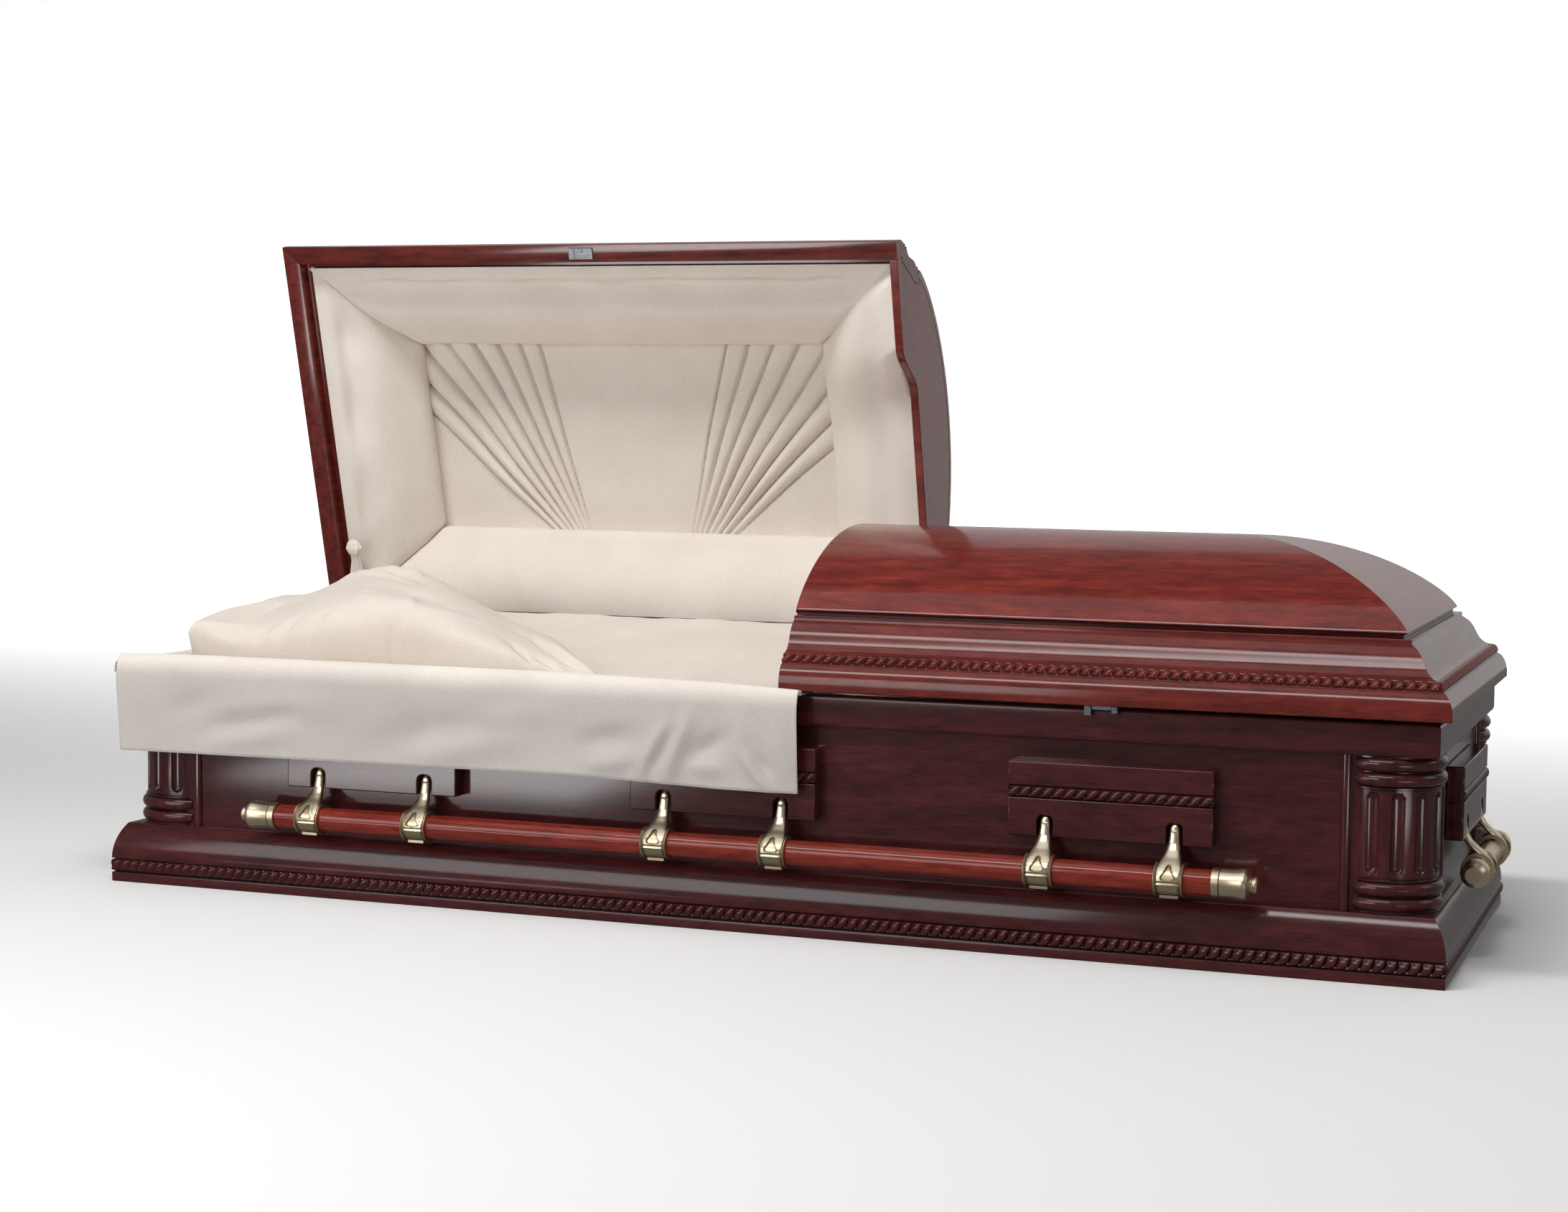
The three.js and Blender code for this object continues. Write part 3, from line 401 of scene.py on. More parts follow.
def lacquered_mahogany(name, grain, tones):
    """Stained mahogany under polished lacquer.

    The eye gets a low-contrast mottled ribbon figure along the grain, short dark pores, painted shade in the
    carved hollows and creases, and a satin clear coat. Ribbons are 20 mm by 120 mm and flecks 10 mm by 34 mm.
    Pores are drawn 3 mm wide, coarser than real, so that they show.
    """
    material, tree, shader, where = new_material(name)
    turn = GRAIN[grain]
    ribbon = patches(tree, where, (0.12, 0.02, 0.02), turn, Detail=4.0, Roughness=0.5, Distortion=0.5)
    pores = patches(tree, where, (0.045, 0.003, 0.003), turn, Detail=3.0, Roughness=0.6)
    flecks = patches(tree, where, (0.034, 0.01, 0.01), turn, Detail=4.0, Roughness=0.6)
    # Painted shade: creases and carved hollows darken to near black
    hollow_shade = node(tree, "ShaderNodeAttribute", {}, attribute_name="hollow_shade").outputs["Fac"]
    figure = node(tree, "ShaderNodeValToRGB", {"Fac": ribbon}, zip((0.22, 0.5, 0.85), tones))
    shades = (
        (pores, ((0.33, "#d6cdca"), (0.47, "#ffffff"))),
        (flecks, ((0.3, "#d2c8c5"), (0.66, "#ffffff"))),
        (hollow_shade, ((0.0, "#ffffff"), (1.0, "#160c0c"))),
    )
    gloss = {"Value": ribbon, "From Min": 0.3, "From Max": 0.7, "To Min": 0.34, "To Max": 0.46}
    relief = {"Height": pores, "Strength": 0.06, "Distance": 0.0005}
    look = {
        "Base Color": shaded(tree, figure.outputs["Color"], shades),
        "Roughness": node(tree, "ShaderNodeMapRange", gloss).outputs[0],
        "Normal": node(tree, "ShaderNodeBump", relief).outputs[0],
        "IOR": 1.5,
        "Specular IOR Level": 0.08,
        "Coat Weight": 0.8,
        "Coat Roughness": 0.12,
        "Coat IOR": 1.5,
    }
    set_inputs(tree, shader, look)
    return material


def antique_brass():
    """Cast brass with a brown patina and painted shade in its recesses, and polished high spots; slightly
    uneven gloss.
    """
    material, tree, shader, where = new_material("antique brass")
    cast = patches(tree, where, (0.006, 0.006, 0.006), Detail=4.0, Roughness=0.6)
    # Recesses darken by patina together with painted shade
    recess = node(tree, "ShaderNodeAttribute", {}, attribute_name="patina_and_shade").outputs["Fac"]
    mottled = node(tree, "ShaderNodeMath", {0: cast, 1: 0.22}, operation="MULTIPLY").outputs[0]
    depth = node(tree, "ShaderNodeMath", {0: recess, 1: mottled}, operation="ADD", use_clamp=True).outputs[0]
    stops = ((0.0, "#efe2cb"), (0.24, "#dccbab"), (0.6, "#96805f"), (1.0, "#4c3b29"))
    gloss = {"Value": depth, "From Min": 0.0, "From Max": 0.8, "To Min": 0.27, "To Max": 0.55}
    relief = {"Height": cast, "Strength": 0.15, "Distance": 0.0004}
    look = {
        "Base Color": node(tree, "ShaderNodeValToRGB", {"Fac": depth}, stops).outputs["Color"],
        "Roughness": node(tree, "ShaderNodeMapRange", gloss).outputs[0],
        "Normal": node(tree, "ShaderNodeBump", relief).outputs[0],
        "Metallic": 1.0,
    }
    set_inputs(tree, shader, look)
    return material


def plain_steel():
    """Zinc-plated steel with fine drawn lines along the length."""
    material, tree, shader, where = new_material("zinc-plated steel")
    lines = patches(tree, where, (0.02, 0.0008, 0.0008), Detail=2.0)
    colour = node(tree, "ShaderNodeValToRGB", {"Fac": lines}, ((0.3, "#5d5e61"), (0.7, "#929396")))
    set_inputs(tree, shader, {"Base Color": colour.outputs["Color"], "Metallic": 1.0, "Roughness": 0.42})
    return material


def ivory_crepe(name, low, high, hanging=None):
    """Ivory crepe: a matt woven cloth with a fine pebbled surface and a soft bloom at grazing angles.

    The pebbles of 1 mm are drawn 2.4 mm wide, coarser than real, so that they show. A hanging shade greys
    the cloth below the rail, where it hangs away from the light.
    """
    material, tree, shader, where = new_material(name)
    pebble = patches(tree, where, (0.0024, 0.0024, 0.0024), Detail=3.0, Roughness=0.65)
    cloud = patches(tree, where, (0.11, 0.11, 0.11), Detail=3.0)
    colour = node(tree, "ShaderNodeValToRGB", {"Fac": cloud}, ((0.3, low), (0.7, high)))
    shades = [(pebble, ((0.3, "#f3f0ed"), (0.6, "#ffffff")))]
    if hanging:
        height = node(tree, "ShaderNodeSeparateXYZ", {"Vector": where}).outputs["Z"]
        bend = {"Value": height, "From Min": 0.335, "From Max": 0.37}
        level = node(tree, "ShaderNodeMapRange", bend, interpolation_type="SMOOTHSTEP")
        shades.append((level.outputs[0], ((0.0, hanging), (1.0, "#ffffff"))))
    relief = {"Height": pebble, "Strength": 0.16, "Distance": 0.0006}
    look = {
        "Base Color": shaded(tree, colour.outputs["Color"], shades),
        "Normal": node(tree, "ShaderNodeBump", relief).outputs[0],
        "Roughness": 0.88,
        "Sheen Weight": 0.25,
        "Sheen Roughness": 0.45,
        "Specular IOR Level": 0.25,
    }
    set_inputs(tree, shader, look)
    return material


def woods(name, axes, tones):
    """One mahogany for each axis that its grain may follow."""
    return {axis: lacquered_mahogany(f"{name} along {axis}", axis, tones) for axis in axes}


LID_AXES = ("x", "y", "lid end")
WOOD = woods("body mahogany", "xyz", ("#3b1617", "#4a1c1d", "#5b2423"))
LID_WOOD = woods("lid mahogany", LID_AXES, ("#5f1b14", "#7b271d", "#953a2b"))
# The lid frame takes a darker copy of the lid mahogany: painted shade on the fascia and cove, which face away
# from the light
LID_FRAME_WOOD_SHADED = woods("lid frame mahogany painted darker", LID_AXES, ("#541915", "#6a231c", "#812f26"))
BAR_WOOD = lacquered_mahogany("bar mahogany", "x", ("#641c13", "#80291c", "#96382a"))
BRASS = antique_brass()
STEEL = plain_steel()
CREPE = ivory_crepe("ivory crepe", "#e0d5ca", "#e9dfd5")
# The bed's crepe and the lid's copy differ only by painted light: the lid's is lighter and greyer than the
# bed's
LID_CREPE_PAINTED_LIGHTER = ivory_crepe("ivory crepe in the lid, painted lighter", "#e6ddd4", "#ede5dd")
APRON_CREPE = ivory_crepe("ivory crepe of the apron", "#e2d9d0", "#ebe3da", "#d5d6d9")


# Base, rail and walls

# Lower and upper [inset, z] edge of the carved band and its height
BASE_ROPE = ([4.6, 16.3], [4.6, 36.7], 7.4)
RAIL_PROFILE = (
    (22.0, RAIL_BOTTOM), (19.6, 311.2), (18.4, 313.4), (18.0, 316.0), (18.0, 351.0), (18.5, 353.6),
    (20.0, 355.4), (22.4, RAIL_TOP), (WALL_INNER, RAIL_TOP), (WALL_INNER, RAIL_BOTTOM),
)


def base_profile():
    """Fascia, rope seat, quarter-round and ledge, upwards along the outer face."""
    rise = np.linspace(0, 54.0, 16)
    quarter_round = np.stack([91.8 - np.sqrt(91.0**2 - rise**2), 38.0 + rise], -1)
    fascia = [[2.2, 0], [0.8, 1.4], [0.8, 14.0], [1.4, 15.0], [4.6, 15.6], [4.6, 37.2], [1.2, 37.4]]
    ledge = [[19.6, 93.2], [20.7, 93.8], [22.2, BASE_TOP], [WALL_INNER, BASE_TOP], [WALL_INNER, 0.0]]
    return np.vstack([fascia, quarter_round, ledge])


def make_base():
    """Four mitred base mouldings, each with a carved rope on its seat."""
    for name, quarter, half, reach, grain in SIDES:
        ends = mitred(reach)
        strip = joined(sweep(base_profile(), ends, half), rope(ends, half, *BASE_ROPE))
        node_name = f"base_moulding_{name}"
        make_piece(f"{node_name}_carved", on_side(strip, quarter), WOOD[grain], "casket", [node_name])


def make_rail():
    """Four mitred strips of the top rail."""
    for name, quarter, half, reach, grain in SIDES:
        strip = sweep(RAIL_PROFILE, mitred(reach), half)
        make_piece(f"top_rail_{name}", on_side(strip, quarter), WOOD[grain], "casket", ["top_rail"])


def dress_flat_nodes():
    """Flat boards keep their solids and take the wood that runs along them."""
    finishes = {"bottom_board": WOOD["x"], "lid_hinge": BRASS}
    finishes.update({f"side_panel_{side}": WOOD["x"] for side in ("front", "back")})
    finishes.update({f"end_panel_{side}": WOOD["y"] for side in ("head", "foot")})
    for name, material in finishes.items():
        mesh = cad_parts[name].data
        mesh.materials.clear()
        mesh.materials.append(material)


# Corner posts, about their own column axis, with the corner towards plus X and minus Y

RING_LOWS, RING_HEIGHT, RING_SEAT, RING_SWELL = (97.0, 118.0, 268.0, 289.0), 19.0, 66.3, 8.0
FILLETS, FILLET_RADIUS = ((BASE_TOP, 97.6), (137.0, 140.6), (264.4, 268.0), (307.4, RAIL_BOTTOM)), 69.0
FLUTE_ANGLES, FLUTE_STEP, FLUTE_HALF, FLUTE_DEPTH = (-60, -30, 0, 30, 60), 30.0, 9.0, 6.2
FLUTE_LOW, FLUTE_HIGH = 147.0, 260.0
POST_GAP, POST_CORE, BEAD_RADIUS = 0.4, 38.0, 7.0
POST_SPANS = ((143, 160, 12), (165, 240, 8), (245, 262, 12))


def column_radius(z):
    """Radius of the turned column: two round rings below, a shaft, and two round rings above."""
    radius = np.full_like(z, SHAFT_RADIUS)
    for low in RING_LOWS:
        place = np.clip((z - low) / RING_HEIGHT, 0, 1)
        swell = RING_SWELL * arch(place) * (place > 0) * (place < 1)
        radius = np.maximum(radius, RING_SEAT + swell)
    for low, high in FILLETS:
        radius = np.where((z >= low) & (z <= high), FILLET_RADIUS, radius)
    return radius


def flute_depth(angle, z):
    """Half-round grooves with round ends, 30 degrees apart about the diagonal."""
    offset = np.radians(np.mod(angle + FLUTE_STEP / 2, FLUTE_STEP) - FLUTE_STEP / 2) * SHAFT_RADIUS
    inside = np.abs(angle) < 75.0
    end = np.maximum(0, np.maximum(FLUTE_LOW + FLUTE_HALF - z, z - FLUTE_HIGH + FLUTE_HALF))
    return inside * FLUTE_DEPTH * np.sqrt(np.clip(1 - (offset**2 + end**2) / FLUTE_HALF**2, 0, 1))


def corner_post():
    """A fluted column round a core, with a slab and a bead on each flank."""
    low, high = BASE_TOP + POST_GAP, RAIL_BOTTOM - POST_GAP
    flutes = [centre + np.linspace(-8.6, 8.6, 15) for centre in FLUTE_ANGLES]
    angle = np.unique(np.concatenate([np.arange(-80.0, 80.1, 2.5), *flutes]))
    spans = ((low, 141.0, 46), *POST_SPANS, (264, high, 46))
    z = np.concatenate([np.linspace(*span) for span in spans])[:, None]
    radius = column_radius(z) - flute_depth(angle, z)
    around = np.radians(angle - 45.0)
    grid = grid_of(radius * np.cos(around), radius * np.sin(around), z)
    column = loop_solid(np.concatenate([grid, grid_of(POST_CORE, -POST_CORE, z)], axis=1))
    slabs = [box((-61, 20), (-58, -38), (low, high)), box((38, 58), (-20, 61), (low, high))]
    turn = np.linspace(0, 2 * np.pi, 24, endpoint=False)
    bead = loop_solid(grid_of(BEAD_RADIUS * np.cos(turn), BEAD_RADIUS * np.sin(turn), [[low], [high]]))
    return joined(column, *slabs, moved(bead, -53.5, -58.0), moved(bead, 58.0, 53.5))


def make_posts():
    """One post at each corner, turned by quarters from the front foot corner."""
    x, y = HALF_LENGTH - COLUMN_INSET, HALF_WIDTH - COLUMN_INSET
    places = (("front_foot", x, -y), ("back_foot", x, y), ("back_head", -x, y), ("front_head", -x, -y))
    for quarter, (name, post_x, post_y) in enumerate(places):
        node_name = f"corner_post_{name}"
        shape = moved(on_side(corner_post(), quarter), post_x, post_y)
        make_piece(f"{node_name}_turned", shape, WOOD["z"], "casket", [node_name])


# Handle blocks

BLOCK_LOW, BLOCK_SEAT, BLOCK_UPPER, BLOCK_TOP = 172.0, 226.6, 244.0, 278.0
BLOCK_FACE, BLOCK_BACK, BLOCK_SUNK, BLOCK_ROPE_GAP = 6.0, 31.7, 2.5, 0.8
BLOCK_ROPE = ([8.5, 227.2], [8.5, 243.4], 6.4)
NOTCH_HALF, NOTCH_TOP, NOTCH_CORNER = 12.0, 203.0, 9.0


def block_shape(left, right, half):
    """Three stacked boards: the lower with two round-topped notches, a sunk one for the rope, the upper."""
    quarter = np.radians(np.linspace(0, 90, 7))
    corner_x = NOTCH_HALF - NOTCH_CORNER + NOTCH_CORNER * np.sin(quarter)
    corner_z = NOTCH_TOP - NOTCH_CORNER + NOTCH_CORNER * np.cos(quarter)
    rounded = np.stack([corner_x, corner_z], -1)
    flank = np.vstack([rounded, [[NOTCH_HALF, BLOCK_LOW]]])
    notch = np.vstack([(flank * np.array([-1, 1]))[::-1], flank])
    centre = (left + right) / 2
    notches = [notch + np.array([centre + offset, 0.0]) for offset in (-ARM_OFFSET, ARM_OFFSET)]
    start, end = [[left, BLOCK_SEAT], [left, BLOCK_LOW]], [[right, BLOCK_LOW], [right, BLOCK_SEAT]]
    face, back = BLOCK_FACE - half, BLOCK_BACK - half
    return joined(
        prism(np.vstack([start, *notches, end]), face, back),
        box((left, right), (face + BLOCK_SUNK, back), (BLOCK_SEAT, BLOCK_UPPER)),
        box((left, right), (face, back), (BLOCK_UPPER, BLOCK_TOP)),
    )


def make_blocks():
    """Three blocks on each long side and one on each end, each with its own rope strip."""
    for name, quarter, half, _, grain in SIDES:
        centres = {f"_{k}": x for k, x in enumerate(BLOCK_CENTRES, 1)} if grain == "x" else {"": 0.0}
        for number, centre in centres.items():
            node_name = f"handle_block_{name}{number}"
            left, right = centre - BLOCK_WIDTH / 2, centre + BLOCK_WIDTH / 2
            board = on_side(block_shape(left, right, half), quarter)
            make_piece(f"{node_name}_board", board, WOOD[grain], "casket", [node_name], bevel=1.8)
            ends = (left + BLOCK_ROPE_GAP, 0.0), (right - BLOCK_ROPE_GAP, 0.0)
            cord = on_side(rope(ends, half, *BLOCK_ROPE), quarter)
            make_piece(f"{node_name}_rope", cord, WOOD[grain], "casket")


# Swing-bar handles, built on the front

# Half width, front and back of the arm at its heights
ARM_HEIGHTS = (
    119.0, 120.5, 122.5, 127.0, 134.0, 140.0, 144.0, 148.0, 152.0, 158.0, 166.0, 175.0, 186.0, 191.5, 197.5,
    201.5, 203.2,
)
ARM_WIDTHS = (18.2, 18.8, 18.9, 18.9, 18.9, 18.8, 18.3, 16.8, 15.0, 12.4, 10.0, 8.2, 7.4, 7.3, 6.2, 4.0, 1.2)
ARM_FRONTS = (
    -29.5, -32.0, -33.9, -34.5, -33.4, -30.4, -27.0, -22.6, -17.6, -9.6, -1.6, 3.6, 6.6, 7.4, 9.0, 11.4, 14.0
)
ARM_BACKS = (-20, -16, -13, -11.5, -11.5, -11.5, -11, -8, -3.6, 3.6, 11, 16, 18.6, 19.2, 19.4, 18.6, 16.6)
ARM_SPANS = ((119, 150, 56), (151.2, 188, 18), (189, 203.2, 18))
ARM_SQUARENESS, STEM_SQUARENESS = 0.42, 0.86
GROOVE_Z, JOINT_Z = 125.6, 191.5
BELL_HEIGHTS = (128.6, 129.6, 131.0, 133.0, 135.5, 139.0, 143.0, 146.0, 147.6, 148.4)
BELL_WIDTHS = (0.0, 7.0, 9.0, 9.4, 8.4, 5.6, 4.0, 3.2, 2.0, 0.0)
BELL_DEPTH, BELL_RIM = 1.8, 0.9
COLLAR_LIP = ((20.4, 22.4), (20.2, 23.9), (19.5, 24.2), (18.6, 23.6), (17.4, 22.2), (15.6, 21.7), (12, 21.6))
COLLAR_HALF, COLLAR_BORE, COLLAR_SIDES = 20.4, 18.2, 56
TIP_SIDES, TIP_GAP = 48, 0.3


def arm_levels(z):
    """Half width, front and back inset of the arm at a height: a stem that flares to a bell over the bar."""
    joint = 0.5 * bump(z, JOINT_Z, 0.7)
    wide = np.interp(z, ARM_HEIGHTS, ARM_WIDTHS) + joint
    front = np.interp(z, ARM_HEIGHTS, ARM_FRONTS) - joint
    front = front - 1.1 * bump(z, 121.6, 1.0) + 0.8 * bump(z, GROOVE_Z, 1.2)
    return wide, front, np.interp(z, ARM_HEIGHTS, ARM_BACKS) + joint


def bell_relief(x, z):
    """Relief of the small bell on the arm's face: 1 where it is sunk, and 1 on its raised rim."""
    edge = np.abs(x) - np.interp(z, BELL_HEIGHTS, BELL_WIDTHS)
    inside = (z >= 128.0) & (z <= 149.0)
    sunk = inside / (1 + np.exp(np.clip(edge * 5 + 2.5, -30, 30)))
    return sunk, inside * bump(edge, 0.0, 1.1)


def arm_shape(half):
    """The arm is stacked rounded sections; on its face the small bell is sunk by 1.8 mm inside a raised rim.

    Angles round the front half are spaced so that points lie evenly across the face of the squarest section.
    """
    z = np.concatenate([np.linspace(*span) for span in ARM_SPANS])[:, None]
    share = np.linspace(0, 1, 20) ** (1 / ARM_SQUARENESS)
    quarter = np.unique(np.concatenate([np.arccos(share), np.arcsin(share)]).round(6))
    front_half = np.pi + np.unique(np.concatenate([quarter, np.pi - quarter]).round(6))[:-1]
    angle = np.concatenate([np.linspace(0, np.pi, 24, endpoint=False), front_half])[None, :]
    wide, front, back = arm_levels(z)
    power = np.interp(z, [138.0, 166.0], [ARM_SQUARENESS, STEM_SQUARENESS])
    cos, sin = np.cos(angle), np.sin(angle)
    x = wide * np.sign(cos) * np.abs(cos) ** power
    y = (front + back) / 2 + (back - front) / 2 * np.sign(sin) * np.abs(sin) ** power
    sunk, rim = bell_relief(x, z)
    face = np.clip(-sin * 3.0, 0, 1)
    y = y + face * (BELL_DEPTH * sunk - BELL_RIM * rim)
    # Groove, joint and the bell's outline darken: patina together with painted shade in the grooves
    shade = 0.4 * bump(z, GROOVE_Z, 1.6) + 0.3 * bump(z, JOINT_Z + 1.5, 0.8)
    patina_and_shade = np.clip(face * (0.45 * sunk + 0.6 * rim) + shade, 0, 1)
    return loop_solid(grid_of(x, y - half, z)), patina_and_shade.ravel()


def on_bar(shape, half):
    """A shape about the X axis moved to the axis of the bar."""
    return moved(shape, 0, -half - BAR_OUTSET, BAR_Z)


def collar_shape(half):
    """A sleeve round the bar with a thin flared lip at each rim, and a clamp plate under it."""
    left = [[-along, radius] for along, radius in COLLAR_LIP]
    bore = [[COLLAR_HALF, COLLAR_BORE], [-COLLAR_HALF, COLLAR_BORE]]
    along, radius = np.vstack([left, COLLAR_LIP[::-1], bore]).T
    angle = np.linspace(0, 2 * np.pi, COLLAR_SIDES, endpoint=False)[:, None]
    ring = grid_of(along, radius * np.sin(angle), radius * np.cos(angle))
    closed = np.concatenate([ring, ring[:1]])
    sleeve = closed.reshape(-1, 3), quads(*closed.shape[:2], wrap=True)
    plate = box((-13.0, 13.0), (-9.0, 9.0), (-25.0, -21.0))
    # The lip grooves darken: patina together with painted shade
    hollow_shade = np.where((np.abs(along) > 15.0) & (np.abs(along) < 18.0), 0.56, 0.16)
    patina_and_shade = np.concatenate([np.tile(hollow_shade, len(closed)), np.full(len(plate[0]), 0.1)])
    return on_bar(joined(sleeve, plate), half), patina_and_shade


def tip_profile():
    """Bar tip from the bar's end outwards: a grooved band, a flare, a round shoulder, a neck and a button."""
    return np.vstack(
        [
            [[0, 18.2], [0.5, 20.4], [10.2, 20.6], [10.7, 19.8], [11.5, 19.8], [12.0, 20.5]],
            smooth([[14, 20.4], [22, 20.2], [30, 20.6], [38, 21.6], [43, 22.3], [46, 22.2]], 3),
            smooth([[48, 21.2], [50, 18.8], [52, 15.2], [54, 12.4], [55.5, 11.0], [56.6, 10.8]], 3),
            smooth([[57.4, 11.4], [58.8, 12.0], [60.8, 11.9], [62.3, 10.9], [63.0, 9.0]], 3),
        ]
    )


def make_brass(name, parts, body, replaced, quarter):
    """A brass piece from (shape, patina and painted shade) parts."""
    shape = on_side(joined(*[part[0] for part in parts]), quarter)
    patina_and_shade = np.concatenate([part[1] for part in parts])
    make_piece(name, shape, BRASS, body, [replaced], "brass", sharp=BRASS_SHARP, patina_and_shade=patina_and_shade)


def arm_parts(half, x):
    """Arm and collar of a handle at one place along the bar."""
    return [(moved(shape, x), patina_and_shade) for shape, patina_and_shade in (arm_shape(half), collar_shape(half))]


def make_long_handle(name, quarter, half):
    """A wooden bar with a small chamfer, two turned tips and six arms."""
    body = f"{name}_handle"
    ends = [[-BAR_HALF, BAR_RADIUS - 1], [1 - BAR_HALF, BAR_RADIUS]]
    bar = on_bar(turned(ends + [[-along, radius] for along, radius in ends[::-1]], 64), half)
    make_piece(f"{name}_bar_round", on_side(bar, quarter), BAR_WOOD, body, [f"{name}_bar"], "bar_wood")
    profile = tip_profile()
    # The tip's groove darkens: patina together with painted shade
    in_groove = (profile[:, 0] > 10.4) & (profile[:, 0] < 11.8)
    patina_and_shade = np.repeat(np.where(in_groove, 0.7, 0.08), TIP_SIDES)
    tip = turned(profile + np.array([BAR_HALF + TIP_GAP, 0]), TIP_SIDES)
    for end, shape in (("left", mirrored(tip, 0)), ("right", tip)):
        tip_name = f"{name}_bar_tip_{end}"
        make_brass(f"{tip_name}_turned", [(on_bar(shape, half), patina_and_shade)], body, tip_name, quarter)
    places = [centre + offset for centre in BLOCK_CENTRES for offset in (-ARM_OFFSET, ARM_OFFSET)]
    for k, x in enumerate(places, 1):
        make_brass(f"{name}_arm_{k}_cast", arm_parts(half, x), body, f"{name}_arm_{k}", quarter)


def make_bail(name, quarter, half):
    """End bail: a bar with ball tips that end in a small flat face, and two arms."""
    neck = [[119, 15.6], [122, 15.4], [126, 17.2]]
    ball = [[132, 19.8], [140, 21.0], [149, 20.4], [157, 17.6], [163, 13.8]]
    tip = np.vstack([smooth(neck + ball, 3), [[166.0, 12.4], [168.0, 11.6], [168.0, 10.4]]])
    profile = np.vstack([(tip * np.array([-1, 1]))[::-1], [[-110, 16.0], [110, 16.0]], tip])
    bar = on_bar(turned(profile, TIP_SIDES), half)
    parts = [(bar, np.full(len(bar[0]), 0.05))]
    for x in (-ARM_OFFSET, ARM_OFFSET):
        parts += arm_parts(half, x)
    make_brass(f"{name}_bail_cast", parts, f"{name}_handle", f"{name}_bail", quarter)


def make_handles():
    """A long bar on the front and the back, and a bail on each end."""
    for name, quarter, half, _, grain in SIDES:
        make_handle = make_long_handle if grain == "x" else make_bail
        make_handle(name, quarter, half)


# Lids, shaped closed, with the hipped end at plus X

LID_ROPE = ([16.0, 401.4], [26.8, 413.6], 6.6)
CROWN_EDGE, CROWN_EDGE_Z, CROWN_SEAT_Z, CROWN_THICKNESS = 73.0, 475.0, FRAME_TOP + 0.3, 12.0
CROWN_LIP = np.array([[79.0, CROWN_SEAT_Z], [78.4, 472.6], [74.2, 473.8]])
SEAM_ROUND = 2.4


def frame_profile():
    """Rim, swelling fascia, rope seat, fillet, cove, upper fillet, and sloped inner face with its rabbet."""
    fascia = [[1.5, 370.0], [2.1, 377.0], [3.6, 384.0], [6.4, 391.0], [10.2, 396.8], [13.6, 399.8]]
    lower_cove = [[31.0, 416.6], [37.0, 421.0], [42.0, 427.4], [46.0, 435.5]]
    upper_cove = [[50.0, 444.0], [56.0, 452.6], [64.6, 459.6]]
    return np.vstack(
        [
            [[2.6, LID_BOTTOM], [1.5, 363.2]],
            smooth(fascia, 3),
            [[15.2, 400.2], [16.2, 401.6], [26.6, 413.3], [27.2, 415.2], [29.4, 416.4]],
            smooth(lower_cove + upper_cove, 3),
            [[65.8, 460.4], [66.0, 461.4], [66.0, 465.9], [66.9, FRAME_TOP]],
            [[92.0, FRAME_TOP], [92.0, 452.0], [41.5, 390.0], [41.5, 388.2]],
            [[32.4, 388.0], [32.0, 387.4], [32.0, 362.6], [31.2, LID_BOTTOM]],
        ]
    )


def crown_levels(thickness=0.0):
    """Insets and heights up the crown, on its outer face or a thickness inside it.

    From its edge up to the ridge it is an arch, a power of a circle.
    """
    start = CROWN_EDGE + thickness
    edge = CROWN_SEAT_Z if thickness else CROWN_EDGE_Z
    inset = start + (HALF_WIDTH - start) * np.linspace(0, 1, 40) ** 1.7
    across = np.clip((HALF_WIDTH - inset) / (HALF_WIDTH - start), 0, 1)
    return np.stack([inset, edge + (CROWN_TOP - thickness - edge) * (1 - across**2) ** 0.79], -1)


def crown_sheets():
    """Inset and height of the crown's outer and inner face as columns; the outer starts under a small lip."""
    outer = np.vstack([CROWN_LIP, crown_levels()])
    inner = np.pad(crown_levels(CROWN_THICKNESS), ((len(CROWN_LIP), 0), (0, 0)), mode="edge")
    return outer.T[..., None], inner.T[..., None]


def crown_slopes(seam):
    """Front and back slope from the seam to the hip line; the edge at the seam is eased by a small round."""
    away = np.array([0.0, 0.5, 1.3, SEAM_ROUND])
    easing = SEAM_ROUND - np.sqrt(np.clip(SEAM_ROUND**2 - (SEAM_ROUND - away) ** 2, 0, None))
    sheets = []
    for (inset, height), drop in zip(crown_sheets(), (np.append(easing, 0.0), 0.0)):
        x = np.hstack([np.broadcast_to(seam + away, (len(inset), len(away))), HALF_LENGTH - inset])
        sheets.append(grid_of(x, inset - HALF_WIDTH, height - drop))
    front = between(*sheets)
    return joined(front, mirrored(front, 1))


def crown_hip():
    """End slope between the two hip lines."""
    share = np.linspace(-1, 1, 3)
    sheets = [
        grid_of(HALF_LENGTH - inset, (HALF_WIDTH - inset) * share, height) for inset, height in crown_sheets()
    ]
    return between(*sheets)


def seam_board(seam):
    """Flat board across the seam end; its lower edge steps up in an ogee behind the front."""
    share = np.linspace(0, 1, 20)
    ogee = np.stack([-176.0 + 88.0 * share, 362.3 + 61.7 * (3 * share**2 - 2 * share**3)], -1)
    inset, height = crown_levels().T
    over = np.stack([HALF_WIDTH - inset, height - 0.4], -1)
    over = over[over[:, 0] < 285]
    back = [[282.5, 424.0], [265.5, 453.0], [265.5, 469.0]]
    front = [[-265.5, 469.0], [-265.5, 453.0], [-316.0, 390.5], [-316.0, 387.4], [-326.0, 387.4]]
    outline = np.vstack([[[-326.0, 362.3]], ogee, back, over, (over * np.array([-1, 1]))[::-1][1:], front])
    y, z = outline.T
    return loop_solid(grid_of([[seam + 0.4], [seam + BOARD_THICKNESS]], y, z))


